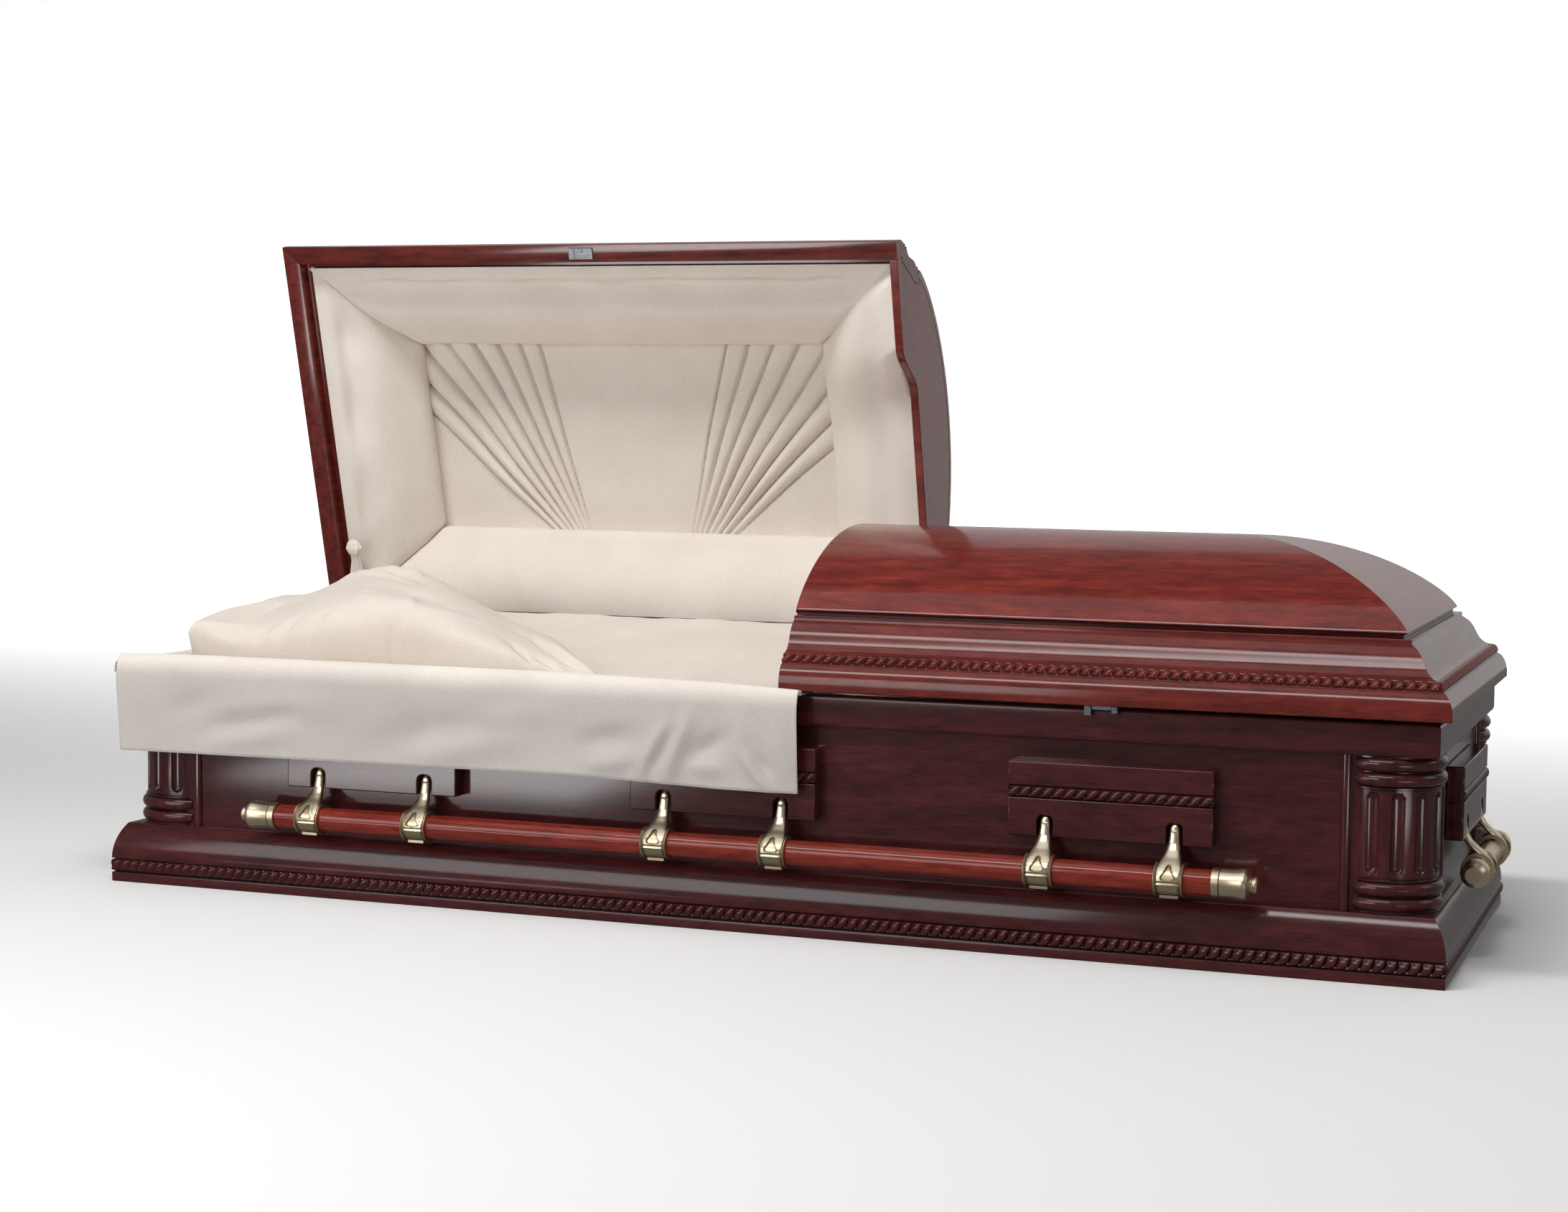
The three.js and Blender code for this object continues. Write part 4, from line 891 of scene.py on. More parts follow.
def make_lid(lid, seam, place, end_grain):
    """One lid from shapes that run from the seam to the hipped end at plus X, placed by a function."""
    profile = frame_profile()
    side_ends, cross_ends = ((seam, 0.0), mitred(HALF_LENGTH)[1]), mitred(HALF_WIDTH)
    side = joined(sweep(profile, side_ends, HALF_WIDTH), rope(side_ends, HALF_WIDTH, *LID_ROPE))
    cross = joined(sweep(profile, cross_ends, HALF_LENGTH), rope(cross_ends, HALF_LENGTH, *LID_ROPE))
    pieces = (
        # The frame members take the darker copy of the lid mahogany, with painted shade
        ("frame_front_carved", side, LID_FRAME_WOOD_SHADED["x"], "frame_front", 0.0),
        ("frame_back_carved", mirrored(side, 1), LID_FRAME_WOOD_SHADED["x"], "frame_back", 0.0),
        ("frame_end_carved", on_side(cross, 1), LID_FRAME_WOOD_SHADED[end_grain], "frame_end", 0.0),
        ("crown_slopes", crown_slopes(seam), LID_WOOD["x"], "crown", 0.0),
        ("crown_hip", crown_hip(), LID_WOOD[end_grain], None, 0.0),
        ("seam_board", seam_board(seam), LID_WOOD["x"], None, 1.2),
    )
    for name, shape, wood, node_name, bevel in pieces:
        replaced = [f"{lid}_{node_name}"] if node_name else []
        make_piece(f"{lid}_{name}", place(shape), wood, lid, replaced, bevel=bevel)


def head_lid_place(shape):
    """The head lid is the foot lid's mirror image, opened."""
    return opened(mirrored(shape, 0))


def foot_lid_place(shape):
    """The foot lid stays closed."""
    return shape


def make_lids():
    """The open head lid and the closed foot lid."""
    make_lid("head_lid", -HEAD_SEAM, head_lid_place, "lid end")
    make_lid("foot_lid", FOOT_SEAM, foot_lid_place, "y")


# Cloth

ROLL_OVERHANG, ROLL_BACKING = 13.0, (6.0, 5.0)
LINING_RIM_X, LINING_RIM_Y, LINING_RIM_Z = 1010.5, (-315.0, 315.0), 383.0
SEAM_EDGE_Y, SEAM_EDGE_Z = (-315, -290, -176, -88, 255, 300), (383, 367, 367, 428, 428, 383)
UNIT_CORNERS = np.array([[0, 0], [1, 0], [1, 1], [0, 1]], float)


def make_cloth(name, shape, material, body, replaced=()):
    """A piece of cloth."""
    piece = make_piece(name, shape, material, body, replaced, "cloth", sharp=CLOTH_SHARP)
    return piece


def lining_roll(outer, inner, low, panel_z, fullness, valley, seed):
    """One roll of a lid lining from the rim in to the panel.

    Across it the section goes from a straight slope towards a quarter ellipse by the fullness, with a soft
    valley beside the rim. It hangs a little over the panel's edge and sinks where it meets the next roll.
    """
    along = np.linspace(0, 1, len(outer))[:, None]
    share = np.linspace(0, 1, 34)[None, :]
    turn = share * np.pi / 2
    side = outer[-1] - outer[0]
    length = np.linalg.norm(side)
    step = inner - outer
    across = step - (step @ side)[:, None] * side / length**2
    across = across / np.linalg.norm(across, axis=1, keepdims=True)
    place = (1 - fullness) * share + fullness * np.sin(turn)
    rise = (1 - fullness) * share + fullness * (1 - np.cos(turn))
    xy = outer[:, None, :] + step[:, None, :] * place[..., None]
    soft = np.convolve(np.pad(low, 24, mode="edge"), np.hanning(51)[1:-1] / 25.0, mode="valid")
    low_in = low[:, None] + (soft - low)[:, None] * np.clip(share / 0.22, 0, 1)
    z = low_in + (panel_z - low_in) * rise
    near_end = np.minimum(along, 1 - along) * length
    mitre = 4.0 * bump(near_end, 0.0, 14.0) * np.sin(np.pi * share)
    dip = valley * bump(share, 0.24, 0.1) * np.clip(near_end / 90.0, 0, 1)
    overhang = ROLL_OVERHANG * bump(share, 0.86, 0.12) * np.clip(near_end / 30.0, 0, 1)
    x, y = xy[..., 0], xy[..., 1]
    waves = 2.0 * ripple(x, y, 170.0, seed) + 0.7 * ripple(x, z, 60.0, seed + 4)
    swell = np.sin(np.pi * share) ** 0.7
    out = swell * waves - mitre - dip * (1 + 0.5 * ripple(x, y, 200.0, seed + 2))
    xy = xy + across[:, None, :] * (0.7 * out + overhang)[..., None]
    front = np.concatenate([xy, (z - 0.7 * out)[..., None]], axis=-1)
    flat = outer[:, None, :] + step[:, None, :] * share[..., None]
    back_z = low[:, None] + ROLL_BACKING[0] + (panel_z + ROLL_BACKING[1] - low[:, None]) * share
    return between(front, np.concatenate([flat, back_z[..., None]], axis=-1))


def lining_border(rim, panel, panel_z, fullness, valley, seam_side):
    """Four mitred rolls between the rim and the panel; the seam side follows the seam board's lower edge."""
    rim, panel = np.array(rim), np.array(panel)
    shapes = []
    for k in range(4):
        along = np.linspace(-0.006, 1.006, 200 if k % 2 == 0 else 120)[:, None]
        unit = UNIT_CORNERS[k] + (UNIT_CORNERS[(k + 1) % 4] - UNIT_CORNERS[k]) * along
        outer = rim[:, 0] + (rim[:, 1] - rim[:, 0]) * unit
        inner = panel[:, 0] + (panel[:, 1] - panel[:, 0]) * unit
        low = np.full(len(outer), LINING_RIM_Z)
        if k == seam_side:
            low = np.interp(outer[:, 1], SEAM_EDGE_Y, SEAM_EDGE_Z)
        shapes.append(lining_roll(outer, inner, low, panel_z, fullness[k], valley[k], k * 3.0 + 1.0))
    return joined(*shapes)


# Point that the pleats aim at, side, and first angle
FANS = ((-558.0, -1.0, 11.0), (-405.0, 1.0, 15.0))
FAN_AIM, FAN_STEP, FAN_PLEATS = 290.0, 5.0, 7
FAN_Z, FAN_BACK_Z, FAN_HEIGHT, FAN_GROWTH, FAN_CREASE = 507.0, 523.0, 6.0, 1.2, 9.5


def fan_panel():
    """Pleated panel of the head lid.

    Pleats fan out from two points below the lower edge, 5 degrees apart. Each one is a soft round ridge with
    a deep narrow crease on its outer side; the last ridge is the highest. The middle stays plain.
    """
    x, y = np.meshgrid(np.linspace(-878.0, -87.0, 380), np.linspace(-166.0, 202.0, 120))
    z = np.full(x.shape, FAN_Z)
    for aim, outward, first in FANS:
        away_x, away_y = (x - aim) * outward, FAN_AIM - y
        distance = np.hypot(away_x, away_y)
        bend = 0.35 * np.sin(distance / 60.0 + aim)
        lean = (np.degrees(np.arctan2(away_x, away_y)) + bend - first) / FAN_STEP
        place, number = np.mod(lean, 1.0), np.floor(lean)
        ridge = np.sin(np.pi * place**0.8) ** 0.9
        aside = np.minimum(place, 1 - place) * distance * math.radians(FAN_STEP)
        inside = np.clip(lean / 0.06 + 1.0, 0, 1) * np.clip((FAN_PLEATS - lean) / 0.06 + 1.0, 0, 1)
        size = np.clip((distance - 60.0) / 200.0, 0.25, 1.0) * (0.75 + 0.25 * np.sin(number * 2.4 + aim))
        height = (FAN_HEIGHT + FAN_GROWTH * np.clip(number, 0, FAN_PLEATS)) * size
        crease = FAN_CREASE * bump(aside, 0.0, 2.6) * np.clip(size * 1.6, 0, 1)
        z = z + inside * (crease - height * ridge)
    z = z + 1.4 * ripple(x, y, 240.0, 3.0)
    z = z - 3.0 * bump(x, -480.0, 130.0) * np.clip((y + 164.0) / 364.0, 0, 1)
    return between(grid_of(x, y, z), grid_of(x, y, FAN_BACK_Z))


def make_lid_linings():
    """Rolls and pleated panel of the head lid; rolls and a plain gathered panel in the foot lid."""
    gap = BOARD_THICKNESS + 0.5
    rim = ((-LINING_RIM_X, HEAD_SEAM - gap), LINING_RIM_Y)
    panel = ((-876.0, -89.0), (-164.0, 200.0))
    border = lining_border(rim, panel, 508.0, (0.95, 0.85, 0.8, 0.95), (26, 8, 0, 16), seam_side=1)
    # The lid linings take the copy of the crepe with painted light
    make_cloth("head_lid_lining_rolls", opened(border), LID_CREPE_PAINTED_LIGHTER, "head_lid", ["head_lid_lining"])
    make_cloth("head_lid_fan_panel", opened(fan_panel()), LID_CREPE_PAINTED_LIGHTER, "head_lid", ["head_lid_panel"])
    rim = ((FOOT_SEAM + gap, LINING_RIM_X), LINING_RIM_Y)
    panel = ((250.0, 870.0), (-185.0, 185.0))
    border = lining_border(rim, panel, 505.0, (0.55, 0.5, 0.35, 0.35), (4, 3, 0, 2), seam_side=3)
    x, y = np.meshgrid(np.linspace(249, 871, 120), np.linspace(-186, 186, 80))
    z = 505.0 - 2.5 * np.abs(np.sin(np.pi * x / 52.0)) + ripple(x, y, 140.0, 8.0)
    lining = joined(border, between(grid_of(x, y, z), grid_of(x, y, 512.0)))
    make_cloth("foot_lid_lining_rolls", lining, LID_CREPE_PAINTED_LIGHTER, "foot_lid", ["foot_lid_lining"])


BED_HALF_LENGTH, BED_HALF_WIDTH, BED_BOTTOM = 985.0, 288.0, 200.0
BED_LINE = smooth(
    [
        [-288, 322], [-270, 338], [-235, 347], [-176, 356], [-88, 374], [0, 390],
        [100, 405], [180, 414], [225, 411], [255, 395], [275, 366], [288, 335],
    ],
    6,
)


def bed_height(x, y):
    """Bed top: low at the front, crest towards the back, lower at both ends."""
    crest = np.interp(y, BED_LINE[:, 0], BED_LINE[:, 1])
    share = np.abs(x) / BED_HALF_LENGTH
    height = np.interp(share, [0.0, 0.87, 0.93, 0.965, 1.0], [1.0, 1.0, 0.95, 0.84, 0.55])
    return BED_BOTTOM + (crest - BED_BOTTOM) * height


def make_bed():
    """Mattress cover: the bed's top with soft waves, down to a flat underside."""
    along = np.linspace(-BED_HALF_LENGTH, BED_HALF_LENGTH, 260)
    across = np.linspace(-BED_HALF_WIDTH, BED_HALF_WIDTH, 90)
    x, y = np.meshgrid(along, across, indexing="ij")
    z = bed_height(x, y) - 1.0 + 1.2 * ripple(x, y, 210.0, 2.0) + 0.5 * ripple(x, y, 60.0, 6.0)
    bed = between(grid_of(x, y, z), grid_of(x, y, BED_BOTTOM + 0.3))
    make_cloth("mattress_cover", bed, CREPE, "casket", ["mattress"])


GATHER_PITCH, GATHER_DEPTH, LINING_END, LINING_BACK = 24.0, 1.6, 65.0, 53.0
LINING_SECTION = smooth([[64, 206], [65.5, 250], [65, 300], [64, 338], [61, 349], [56, 352]], 4)


def make_body_lining():
    """Gathered cloth on the inside of the walls: upright gathers 24 mm apart over a rounded top."""
    shapes = []
    inset, z = LINING_SECTION.T
    for _, quarter, half, reach, grain in SIDES:
        along = np.linspace(LINING_END - reach, reach - LINING_END, 420 if grain == "x" else 140)[:, None]
        depth = np.clip((345.0 - z) / 40.0, 0.2, 1.0)
        gather = GATHER_DEPTH * np.sin(2 * np.pi * along / GATHER_PITCH) * depth
        front = grid_of(along, inset + gather - 1.7 - half, z)
        shapes.append(on_side(between(front, grid_of(along, LINING_BACK - half, z - 0.5)), quarter))
    make_cloth("body_lining_gathered", joined(*shapes), CREPE, "casket", ["body_lining"])


def soft_step(value, width):
    """Rises softly from 0 to 1 about zero."""
    return 1 / (1 + np.exp(np.clip(-value / width, -30, 30)))


def soft_folds(across, along, folds):
    """Sum of soft ridges, each a bell curve across its line that fades out along it.

    A fold is the two ends of its line, its width and its height; a negative height is a hollow.
    """
    total = 0.0
    for x0, y0, x1, y1, width, height in folds:
        length = math.hypot(x1 - x0, y1 - y0)
        run = ((across - x0) * (x1 - x0) + (along - y0) * (y1 - y0)) / length
        aside = ((across - x0) * (y1 - y0) - (along - y0) * (x1 - x0)) / length
        fade = soft_step(run, width * 0.7) * soft_step(length - run, width * 0.7)
        total = total + height * bump(aside, 0.0, width) * fade
    return total


def make_draped(name, points, material, thickness, replaced=()):
    """A thin cloth from a grid of points, draped on a rail."""
    piece = make_piece(name, open_sheet(points), material, "casket", replaced, "cloth", sharp=CLOTH_SHARP)
    thick = piece.modifiers.new("cloth thickness", "SOLIDIFY")
    thick.thickness = thickness * MM
    thick.offset = -1.0


# Folds of the hanging cloth, by x and z
APRON_FOLDS = (
    (-122, 226, -80, 300, 14, 9.0), (-82, 222, -40, 326, 14, 10.0), (-200, 238, -130, 252, 15, 7.0),
    (-32, 244, 8, 246, 13, 7.5), (-104, 240, -64, 300, 11, -8.0), (-210, 272, -138, 286, 17, -8.0),
    (-36, 262, 10, 290, 14, -8.0), (38, 272, 86, 216, 12, 8.0), (68, 262, 84, 236, 10, -7.0),
    (34, 336, 42, 286, 14, 5.0), (54, 336, 70, 310, 12, -4.0), (96, 300, 112, 240, 14, 4.0),
    (-920, 286, -860, 312, 22, -7.0), (-868, 253, -700, 294, 20, -9.5), (-790, 291, -640, 315, 24, 7.0),
    (-856, 240, -728, 260, 18, 6.5), (-560, 250, -380, 300, 26, -7.0), (-500, 236, -330, 268, 22, 6.5),
    (-400, 300, -250, 330, 24, 6.0),
)
APRON_PATH = smooth(
    [
        [-302, 358.0], [-330, 358.0], [-349, 358.0], [-358.2, 361.4], [-361.6, 368.4], [-365.0, 372.6],
        [-369.6, 372.6], [-375.2, 367.6], [-379.4, 358.4], [-381.6, 345.0], [-381.4, 325.0],
        [-379.0, 295.0], [-375.5, 255.0], [-373.0, 214.0],
    ],
    8,
)
APRON_ENDS, APRON_LENGTH, APRON_TOP, APRON_HEM = (-1026.0, 126.0), 1.152, 372.9, 214.0


def make_apron():
    """Front apron: from inside over the rail in a soft padded shoulder, then down to the hem.

    A path in the cross-section is carried along the length; folds and waves stand out from the hanging part.
    """
    x = np.linspace(*APRON_ENDS, 460)[:, None]
    y, z = APRON_PATH.T
    outside = y < -360.0
    top = np.interp(x, [-1026, -900, -300, 0, 126], [370.0, 373.5, 374.5, 370.5, 364.5])
    hem = np.interp(x, [-1026, -600, -230, 0, 126], [216, 218.5, 220.5, 213.5, 213.0])
    hung = np.where(outside, top + (z - APRON_TOP) * (top - hem) / (APRON_TOP - APRON_HEM), z)
    folds = soft_folds(x, hung, APRON_FOLDS) * np.clip((352.0 - hung) / 60.0, 0, 1)
    waves = ripple(x, hung, 160.0, 4.0) * np.clip((372.0 - hung) / 30.0, 0, 1)
    right_end = np.clip((x - 60.0) / 66.0, 0, 1) ** 2
    relax = 3.5 * right_end * np.clip((372.0 - hung) / 20.0, 0, 1)
    points = grid_of(x, y + (relax - folds - waves) * outside, hung)
    make_draped("apron_cloth", points, APRON_CREPE, 1.6, ["apron"])


OVERLAY_PATH = smooth(
    [
        [-996, 330], [-999, 346], [-1003, 356], [-1010, 359],
        [-1024, 359.6], [-1034, 358.6], [-1038, 353], [-1039, 340],
    ],
    6,
)
OVERLAY_ENDS, OVERLAY_LENGTH = (-368.0, -120.0), 0.248


def make_head_overlay():
    """Cloth turned over the head-end rail: up from inside, flat over the rail and a little down outside."""
    y = np.linspace(*OVERLAY_ENDS, 90)[:, None]
    x, z = OVERLAY_PATH.T
    wave = ripple(y, z * 0.6 + x * 0.4, 70.0, 2.0)
    points = grid_of(x - 0.8 * wave * (z < 350), y, z + np.clip(wave, -1, 0.6) * 0.9)
    make_draped("head_rail_cloth", points, CREPE, 1.4)


PILLOW_CORNERS = np.array([[-976, -262, 371], [-237, -250, 354], [-465, 58, 380], [-992, 80, 439]], float)
PILLOW_SIZE = np.array([780.0, 460.0, 6.0])
PILLOW_LAID, PILLOW_TAUT = (740.0, 330.0), 0.4
PILLOW_RISE, PILLOW_CURL, PILLOW_CROWN = 116.0, 37.5, (0.441, 0.55)
CLOTH_RUN = {
    "quality": 5, "mass": 0.2, "tension_stiffness": 20, "compression_stiffness": 8, "bending_stiffness": 0.3,
    "air_damping": 2.0, "use_pressure": True, "uniform_pressure_force": 6,
}

# Folds of the pillow by distance along its front and back from it
PILLOW_FOLDS = (
    (50, 60, 96, 170, 13, -8.5), (30, 80, 70, 190, 12, 5.5), (191, 262, 391, 212, 12, -7.0),
    (210, 240, 400, 190, 11, 5.5), (118, 10, 138, 44, 7, -10.0), (160, 12, 188, 46, 7, -10.0),
    (211, 14, 244, 48, 7, -8.5), (590, 60, 628, 12, 9, -10.0), (630, 40, 668, 8, 8, -10.0),
    (676, 26, 700, 4, 7, -8.5), (668, 110, 728, 4, 10, 10.0), (640, 120, 712, 14, 9, -8.5),
    (8, 6, 96, 52, 9, 7.0), (24, 2, 120, 28, 8, -7.0), (420, 60, 560, 110, 18, 4.0),
)


def unit_dome(u, v):
    """Dome over a unit square: 0 at its edges and 1 in its middle."""
    return np.clip(16 * u * (1 - u) * v * (1 - v), 0, 1)


def flat_pillow(across, deep):
    """Two flat sheets of cloth sewn together all round, with a little air between them."""
    u, v = np.meshgrid(np.linspace(0, 1, across), np.linspace(0, 1, deep), indexing="ij")
    top = open_sheet(grid_of(u, v, np.sqrt(unit_dome(u, v))) * PILLOW_SIZE)
    return joined(top, (top[0] * np.array([1.0, 1.0, -1.0]), top[1]))


def points_of(mesh):
    """Points of a mesh as an array."""
    points = np.empty(len(mesh.vertices) * 3)
    mesh.vertices.foreach_get("co", points)
    return points.reshape(-1, 3)


def blown_up(shape, frames):
    """A closed cloth before and after cloth simulation under inner pressure, each scaled to a unit box."""
    mesh = merged_mesh("cloth_run", shape)
    flat = points_of(mesh) / MM / PILLOW_SIZE
    run = add_object("cloth_run", mesh)
    cloth = run.modifiers.new("cloth", "CLOTH")
    for key, value in CLOTH_RUN.items():
        setattr(cloth.settings, key, value)
    cloth.settings.effector_weights.gravity = 0
    cloth.collision_settings.use_collision = False
    for number in range(1, frames + 1):
        bpy.context.scene.frame_set(number)
    result = run.evaluated_get(bpy.context.evaluated_depsgraph_get()).to_mesh()
    points = points_of(result)
    faces = [list(face.vertices) for face in result.polygons]
    bpy.data.objects.remove(run)
    bpy.context.scene.frame_set(1)
    low, high = points.min(0), points.max(0)
    points[:, :2] = (points[:, :2] - low[:2]) / (high - low)[:2]
    points[:, 2] = points[:, 2] / high[2]
    return flat, points, faces


def make_pillow():
    """Pillow: sewn sheets blown up by simulation, then laid over its four corners on the bed.

    Place and height are a mix of the blown-up sheets and a plain dome, so that the sides pull in a little.
    The height is largest about the crown; the underside settles on the bed just inside the seam.
    """
    flat, blown, faces = blown_up(flat_pillow(90, 52), 30)
    taut = PILLOW_TAUT
    u, v, side = flat.T
    s, t = u + (blown[:, 0] - u) * taut, v + (blown[:, 1] - v) * taut
    dome = np.sign(side) * unit_dome(u, v) ** 0.52
    height = dome + (blown[:, 2] - dome) * taut
    height = height / height.max()
    laid = np.stack([(1 - s) * (1 - t), s * (1 - t), s * t, (1 - s) * t], -1) @ PILLOW_CORNERS
    laid[:, 2] += PILLOW_CURL * bump(s, 0.0, 0.1) * bump(t, 0.0, 0.45)
    spread = np.where(s < PILLOW_CROWN[0], 0.274, 0.373)
    crown = 0.2 + 0.8 * bump(s, PILLOW_CROWN[0], spread) * bump(t, PILLOW_CROWN[1], 0.6)
    above, below = np.clip(height, 0, None), np.clip(-height, 0, None)
    creases = soft_folds(s * PILLOW_LAID[0], t * PILLOW_LAID[1], PILLOW_FOLDS)
    creases = creases + 1.5 * ripple(laid[:, 0], laid[:, 1], 130.0, 5.0)
    laid[:, 2] += above**0.8 * PILLOW_RISE * crown + np.clip(above * 5, 0, 1) * creases
    settled = np.clip(below * 5, 0, 1) ** 0.6
    bed = bed_height(laid[:, 0], laid[:, 1]) + 2.0
    laid[:, 2] += np.minimum(bed - laid[:, 2], 0) * settled
    piece = make_cloth("pillow_cushion", (laid, faces), CREPE, "casket", ["pillow"])
    rounding = piece.modifiers.new("smooth cloth", "SUBSURF")
    rounding.levels = 1
    rounding.render_levels = 1
    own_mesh(piece)


TIE_SHARES = (0, 0.06, 0.2, 0.34, 0.4, 0.46, 0.8, 0.97, 1)
TIE_WIDTHS, TIE_DEPTHS = (1, 11, 15, 9, 6, 8, 13, 15, 13), (1, 6, 8, 6, 5, 5, 4, 3, 2)


def make_stay_tie():
    """Cloth tie of the lid stay: a gathered puff on the head lid's end, a knot and a short tail.

    Its section is an ellipse along a path on the rim, pinched at the knot.
    """
    share = np.linspace(0, 1, 60)[:, None]
    angle = np.linspace(0, 2 * np.pi, 40, endpoint=False)[None, :]
    x = np.interp(share, [0, 0.35, 1], [-992, -989, -993])
    y = np.interp(share, [0, 1], [182, 262])
    z = np.interp(share, [0, 0.3, 0.5, 1], [366, 362, 365, 367])
    gather = 1 + 0.12 * np.sin(angle * 7 + share * 3) * np.clip(share * 6, 0, 1)
    wide = np.interp(share, TIE_SHARES, TIE_WIDTHS) * np.cos(angle) * gather
    deep = np.interp(share, TIE_SHARES, TIE_DEPTHS) * np.sin(angle) * gather
    tie = loop_solid(grid_of(x + wide, y, z + deep))
    make_cloth("head_lid_stay_tie", opened(tie), LID_CREPE_PAINTED_LIGHTER, "head_lid")


# Small metal


def make_catches():
    """Strike plate under the head lid's rim, and the latch that hangs below the foot lid's rim."""
    left, right = -497, -453
    plate = joined(
        box((left, right), (-351, -332), (361.0, 361.8)),
        box((left, right), (-351, -348.4), (359.6, 361.2)),
        box((left, right), (-334.6, -332), (359.6, 361.2)),
        box((left, left + 10), (-349, -334), (359.8, 361.2)),
        box((right - 10, right), (-349, -334), (359.8, 361.2)),
        box((-479, -471), (-350.5, -344), (359.2, 361.2)),
    )
    strike = ["head_lid_strike"]
    make_piece("head_lid_strike_plate", opened(plate), STEEL, "head_lid", strike, "steel", bevel=0.4)
    latch = joined(
        box((546, 556), (-352, -341.5), (347, 361.6)),
        box((556.5, 585), (-350, -342), (355.5, 361.6)),
        box((585.5, 594), (-352, -341.5), (351, 361.6)),
    )
    make_piece("foot_lid_latch_body", latch, STEEL, "foot_lid", ["foot_lid_latch"], "steel", bevel=0.8)


# Stage, lights and camera, in metres

PAPER_HALF, PAPER_FRONT, PAPER_TURN, PAPER_RADIUS, PAPER_TOP = 16.0, -9.0, 5.0, 1.6, 7.0

# Values of the fitted camera; lengths of the photograph are in its pixels
PHOTO_WIDTH, PHOTO_FOCAL, PHOTO_MIDDLE, PHOTO_AXIS = 2184.0, 3811.0, (1092.0, 844.0), (1095.1, 846.9)
CAMERA_PLACE, CAMERA_YAW, CAMERA_PITCH, CAMERA_ROLL = (1.4801, -4.0775, 0.7753), 20.34, -4.22, 0.64
SENSOR_WIDTH = 36.0


def make_stage():
    """Studio paper: a flat floor that turns up behind in a round sweep; the lacquer does not mirror it."""
    material, tree, shader, _ = new_material("studio paper")
    set_inputs(tree, shader, {"Base Color": linear("#efeeed"), "Roughness": 0.9, "Specular IOR Level": 0.1})
    turn = np.radians(np.linspace(0, 90, 24))
    y = np.concatenate([[PAPER_FRONT], PAPER_TURN + PAPER_RADIUS * np.sin(turn), [PAPER_TURN + PAPER_RADIUS]])
    z = np.concatenate([[0.0], PAPER_RADIUS - PAPER_RADIUS * np.cos(turn), [PAPER_TOP]])
    points, faces = open_sheet(grid_of([[-PAPER_HALF], [PAPER_HALF]], y, z))
    mesh = bpy.data.meshes.new("studio_paper")
    mesh.from_pydata(points.tolist(), [], faces)
    mesh.polygons.foreach_set("use_smooth", np.ones(len(mesh.polygons), bool))
    mesh.materials.append(material)
    paper = add_object("studio_paper", mesh)
    paper.visible_glossy = False


def make_light(name, place, target, size, power, spread=180.0, glossy=True, diffuse=True):
    """A soft box that the camera does not see; it may be left out of mirror images or of matt surfaces."""
    data = bpy.data.lights.new(name, "AREA")
    data.spread = math.radians(spread)
    data.shape = "RECTANGLE"
    data.size, data.size_y = size
    data.energy = power
    light = add_object(name, data)
    turn = (Vector(target) - Vector(place)).to_track_quat("-Z", "Y").to_matrix().to_4x4()
    light.matrix_world = Matrix.Translation(place) @ turn
    light.visible_camera = False
    light.visible_glossy = glossy
    light.visible_diffuse = diffuse


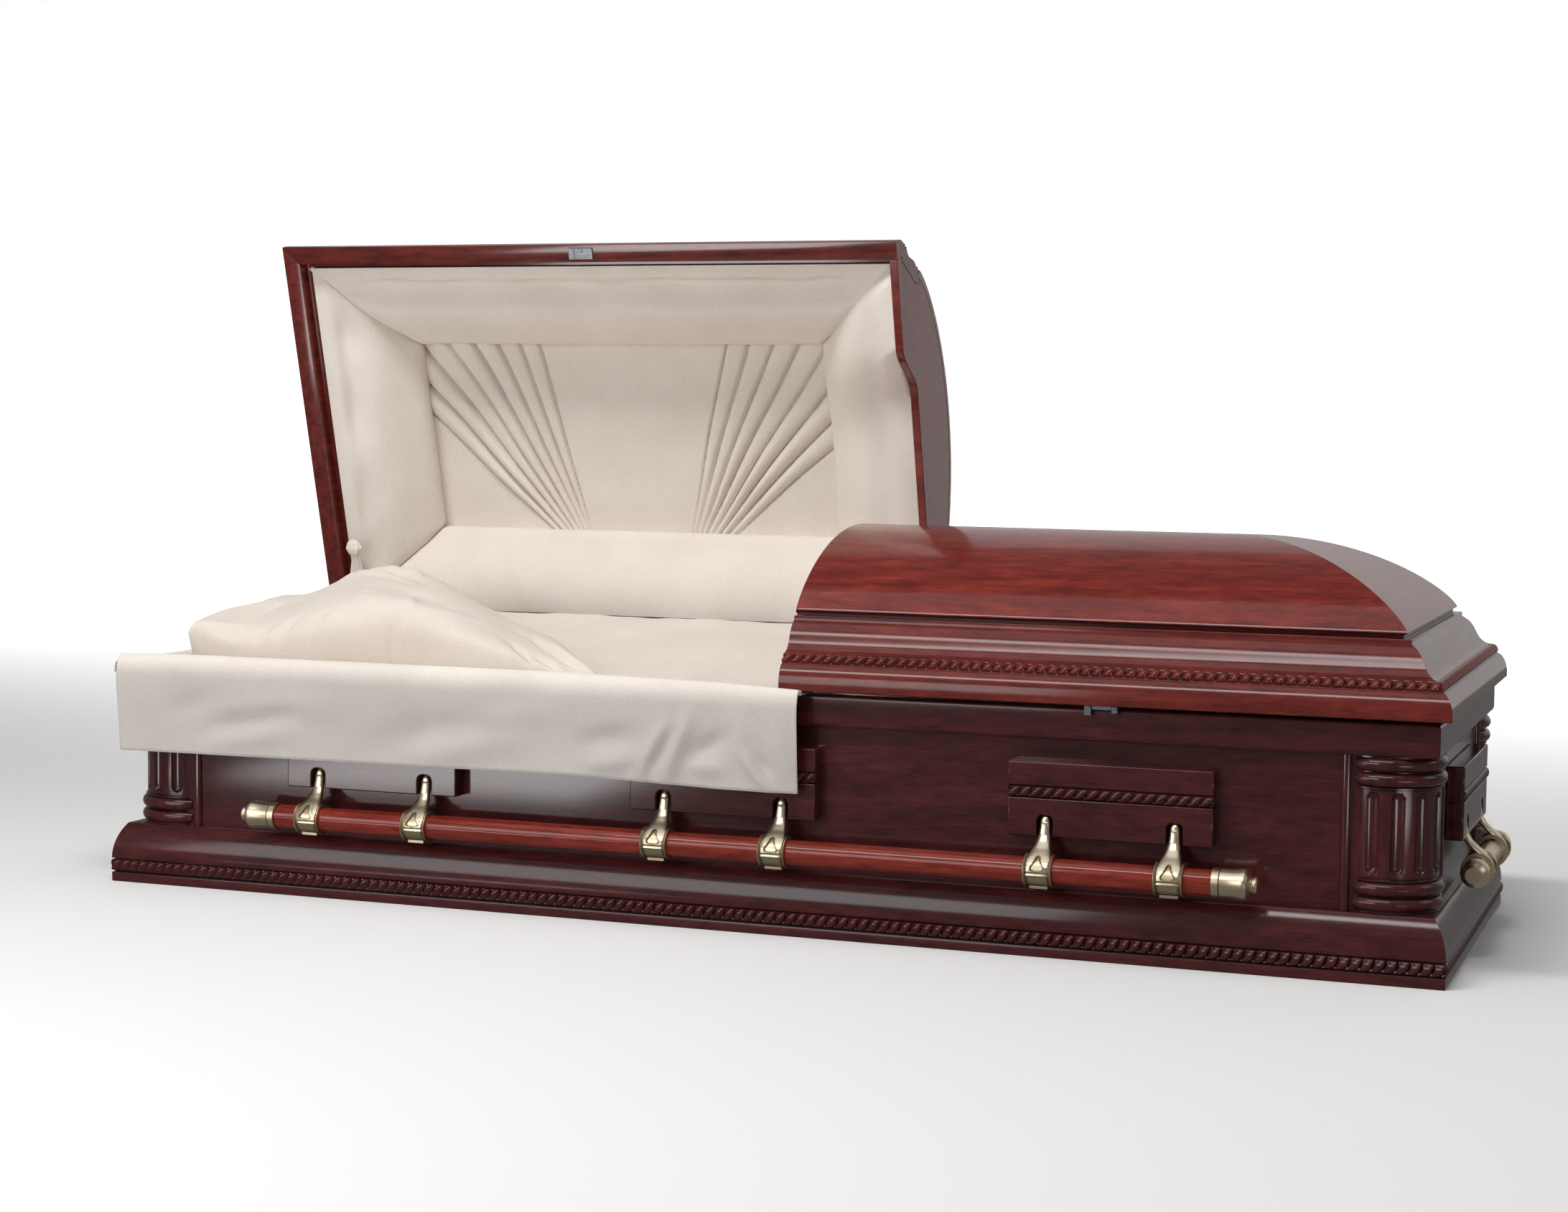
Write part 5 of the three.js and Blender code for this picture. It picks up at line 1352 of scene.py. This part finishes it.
def make_lights():
    """Soft boxes above, at the front left and at the foot end, one on the paper behind, and a dim room.

    The shines are seen in the lacquer and the brass alone, where the photograph has its bright streaks.
    """
    world = bpy.data.worlds.new("studio")
    world.use_nodes = True
    background = world.node_tree.nodes["Background"]
    set_inputs(world.node_tree, background, {"Color": linear("#ffffff"), "Strength": 0.16})
    bpy.context.scene.world = world
    make_light("key", (-0.2, -2.1, 3.9), (0.0, 0.1, 0.45), (3.4, 0.6), 112, glossy=False)
    make_light("overhead", (0.0, -0.9, 3.9), (0.0, 0.1, 0.4), (4.6, 2.4), 26)
    make_light("front left", (-1.2, -2.6, 1.0), (-0.4, 0.0, 0.3), (2.2, 1.0), 22)
    make_light("foot end", (4.2, 0.4, 2.2), (0.9, 0.0, 0.3), (1.8, 1.8), 10)
    make_light("paper", (-2.0, 3.2, 5.0), (-2.0, 5.4, 0.5), (20.0, 1.0), 420, spread=110.0)
    shines = (
        ("strip shine", (-0.2, -2.6, 3.0), (0.2, -0.3, 0.45), (3.0, 0.5), 40),
        ("back shine", (0.5, 3.4, 1.8), (0.5, 0.0, 1.8), (7.0, 3.2), 24),
        ("floor shine left", (-1.1, -1.75, 0.02), (-1.1, -1.75, 1.0), (0.8, 0.9), 22),
        ("floor shine right", (1.9, -1.6, 0.02), (1.9, -1.6, 1.0), (0.8, 0.8), 12),
    )
    for shine in shines:
        make_light(*shine, diffuse=False)
    bpy.context.scene.view_settings.view_transform = "Standard"


def make_camera():
    """The photograph's own view: place, turn and lens come from its straight edges."""
    data = bpy.data.cameras.new("view")
    data.sensor_fit = "HORIZONTAL"
    data.sensor_width = SENSOR_WIDTH
    data.lens = SENSOR_WIDTH * PHOTO_FOCAL / PHOTO_WIDTH
    data.shift_x = (PHOTO_MIDDLE[0] - PHOTO_AXIS[0]) / PHOTO_WIDTH
    data.shift_y = (PHOTO_AXIS[1] - PHOTO_MIDDLE[1]) / PHOTO_WIDTH
    yaw, pitch, roll = math.radians(CAMERA_YAW), math.radians(CAMERA_PITCH), math.radians(CAMERA_ROLL)
    ahead = np.array([-math.sin(yaw) * math.cos(pitch), math.cos(yaw) * math.cos(pitch), math.sin(pitch)])
    level = np.array([math.cos(yaw), math.sin(yaw), 0.0])
    upright = np.cross(level, ahead)
    matrix = np.eye(4)
    matrix[:3, 0] = level * math.cos(roll) + upright * math.sin(roll)
    matrix[:3, 1] = upright * math.cos(roll) - level * math.sin(roll)
    matrix[:3, 2] = -ahead
    matrix[:3, 3] = CAMERA_PLACE
    camera = add_object("view", data)
    camera.matrix_world = Matrix(matrix.tolist())
    bpy.context.scene.camera = camera


make_camera()
make_base()
make_rail()
dress_flat_nodes()
make_posts()
make_blocks()
make_handles()
make_lids()
make_lid_linings()
make_bed()
make_body_lining()
make_apron()
make_head_overlay()
make_pillow()
make_stay_tie()
make_catches()
make_stage()
make_lights()
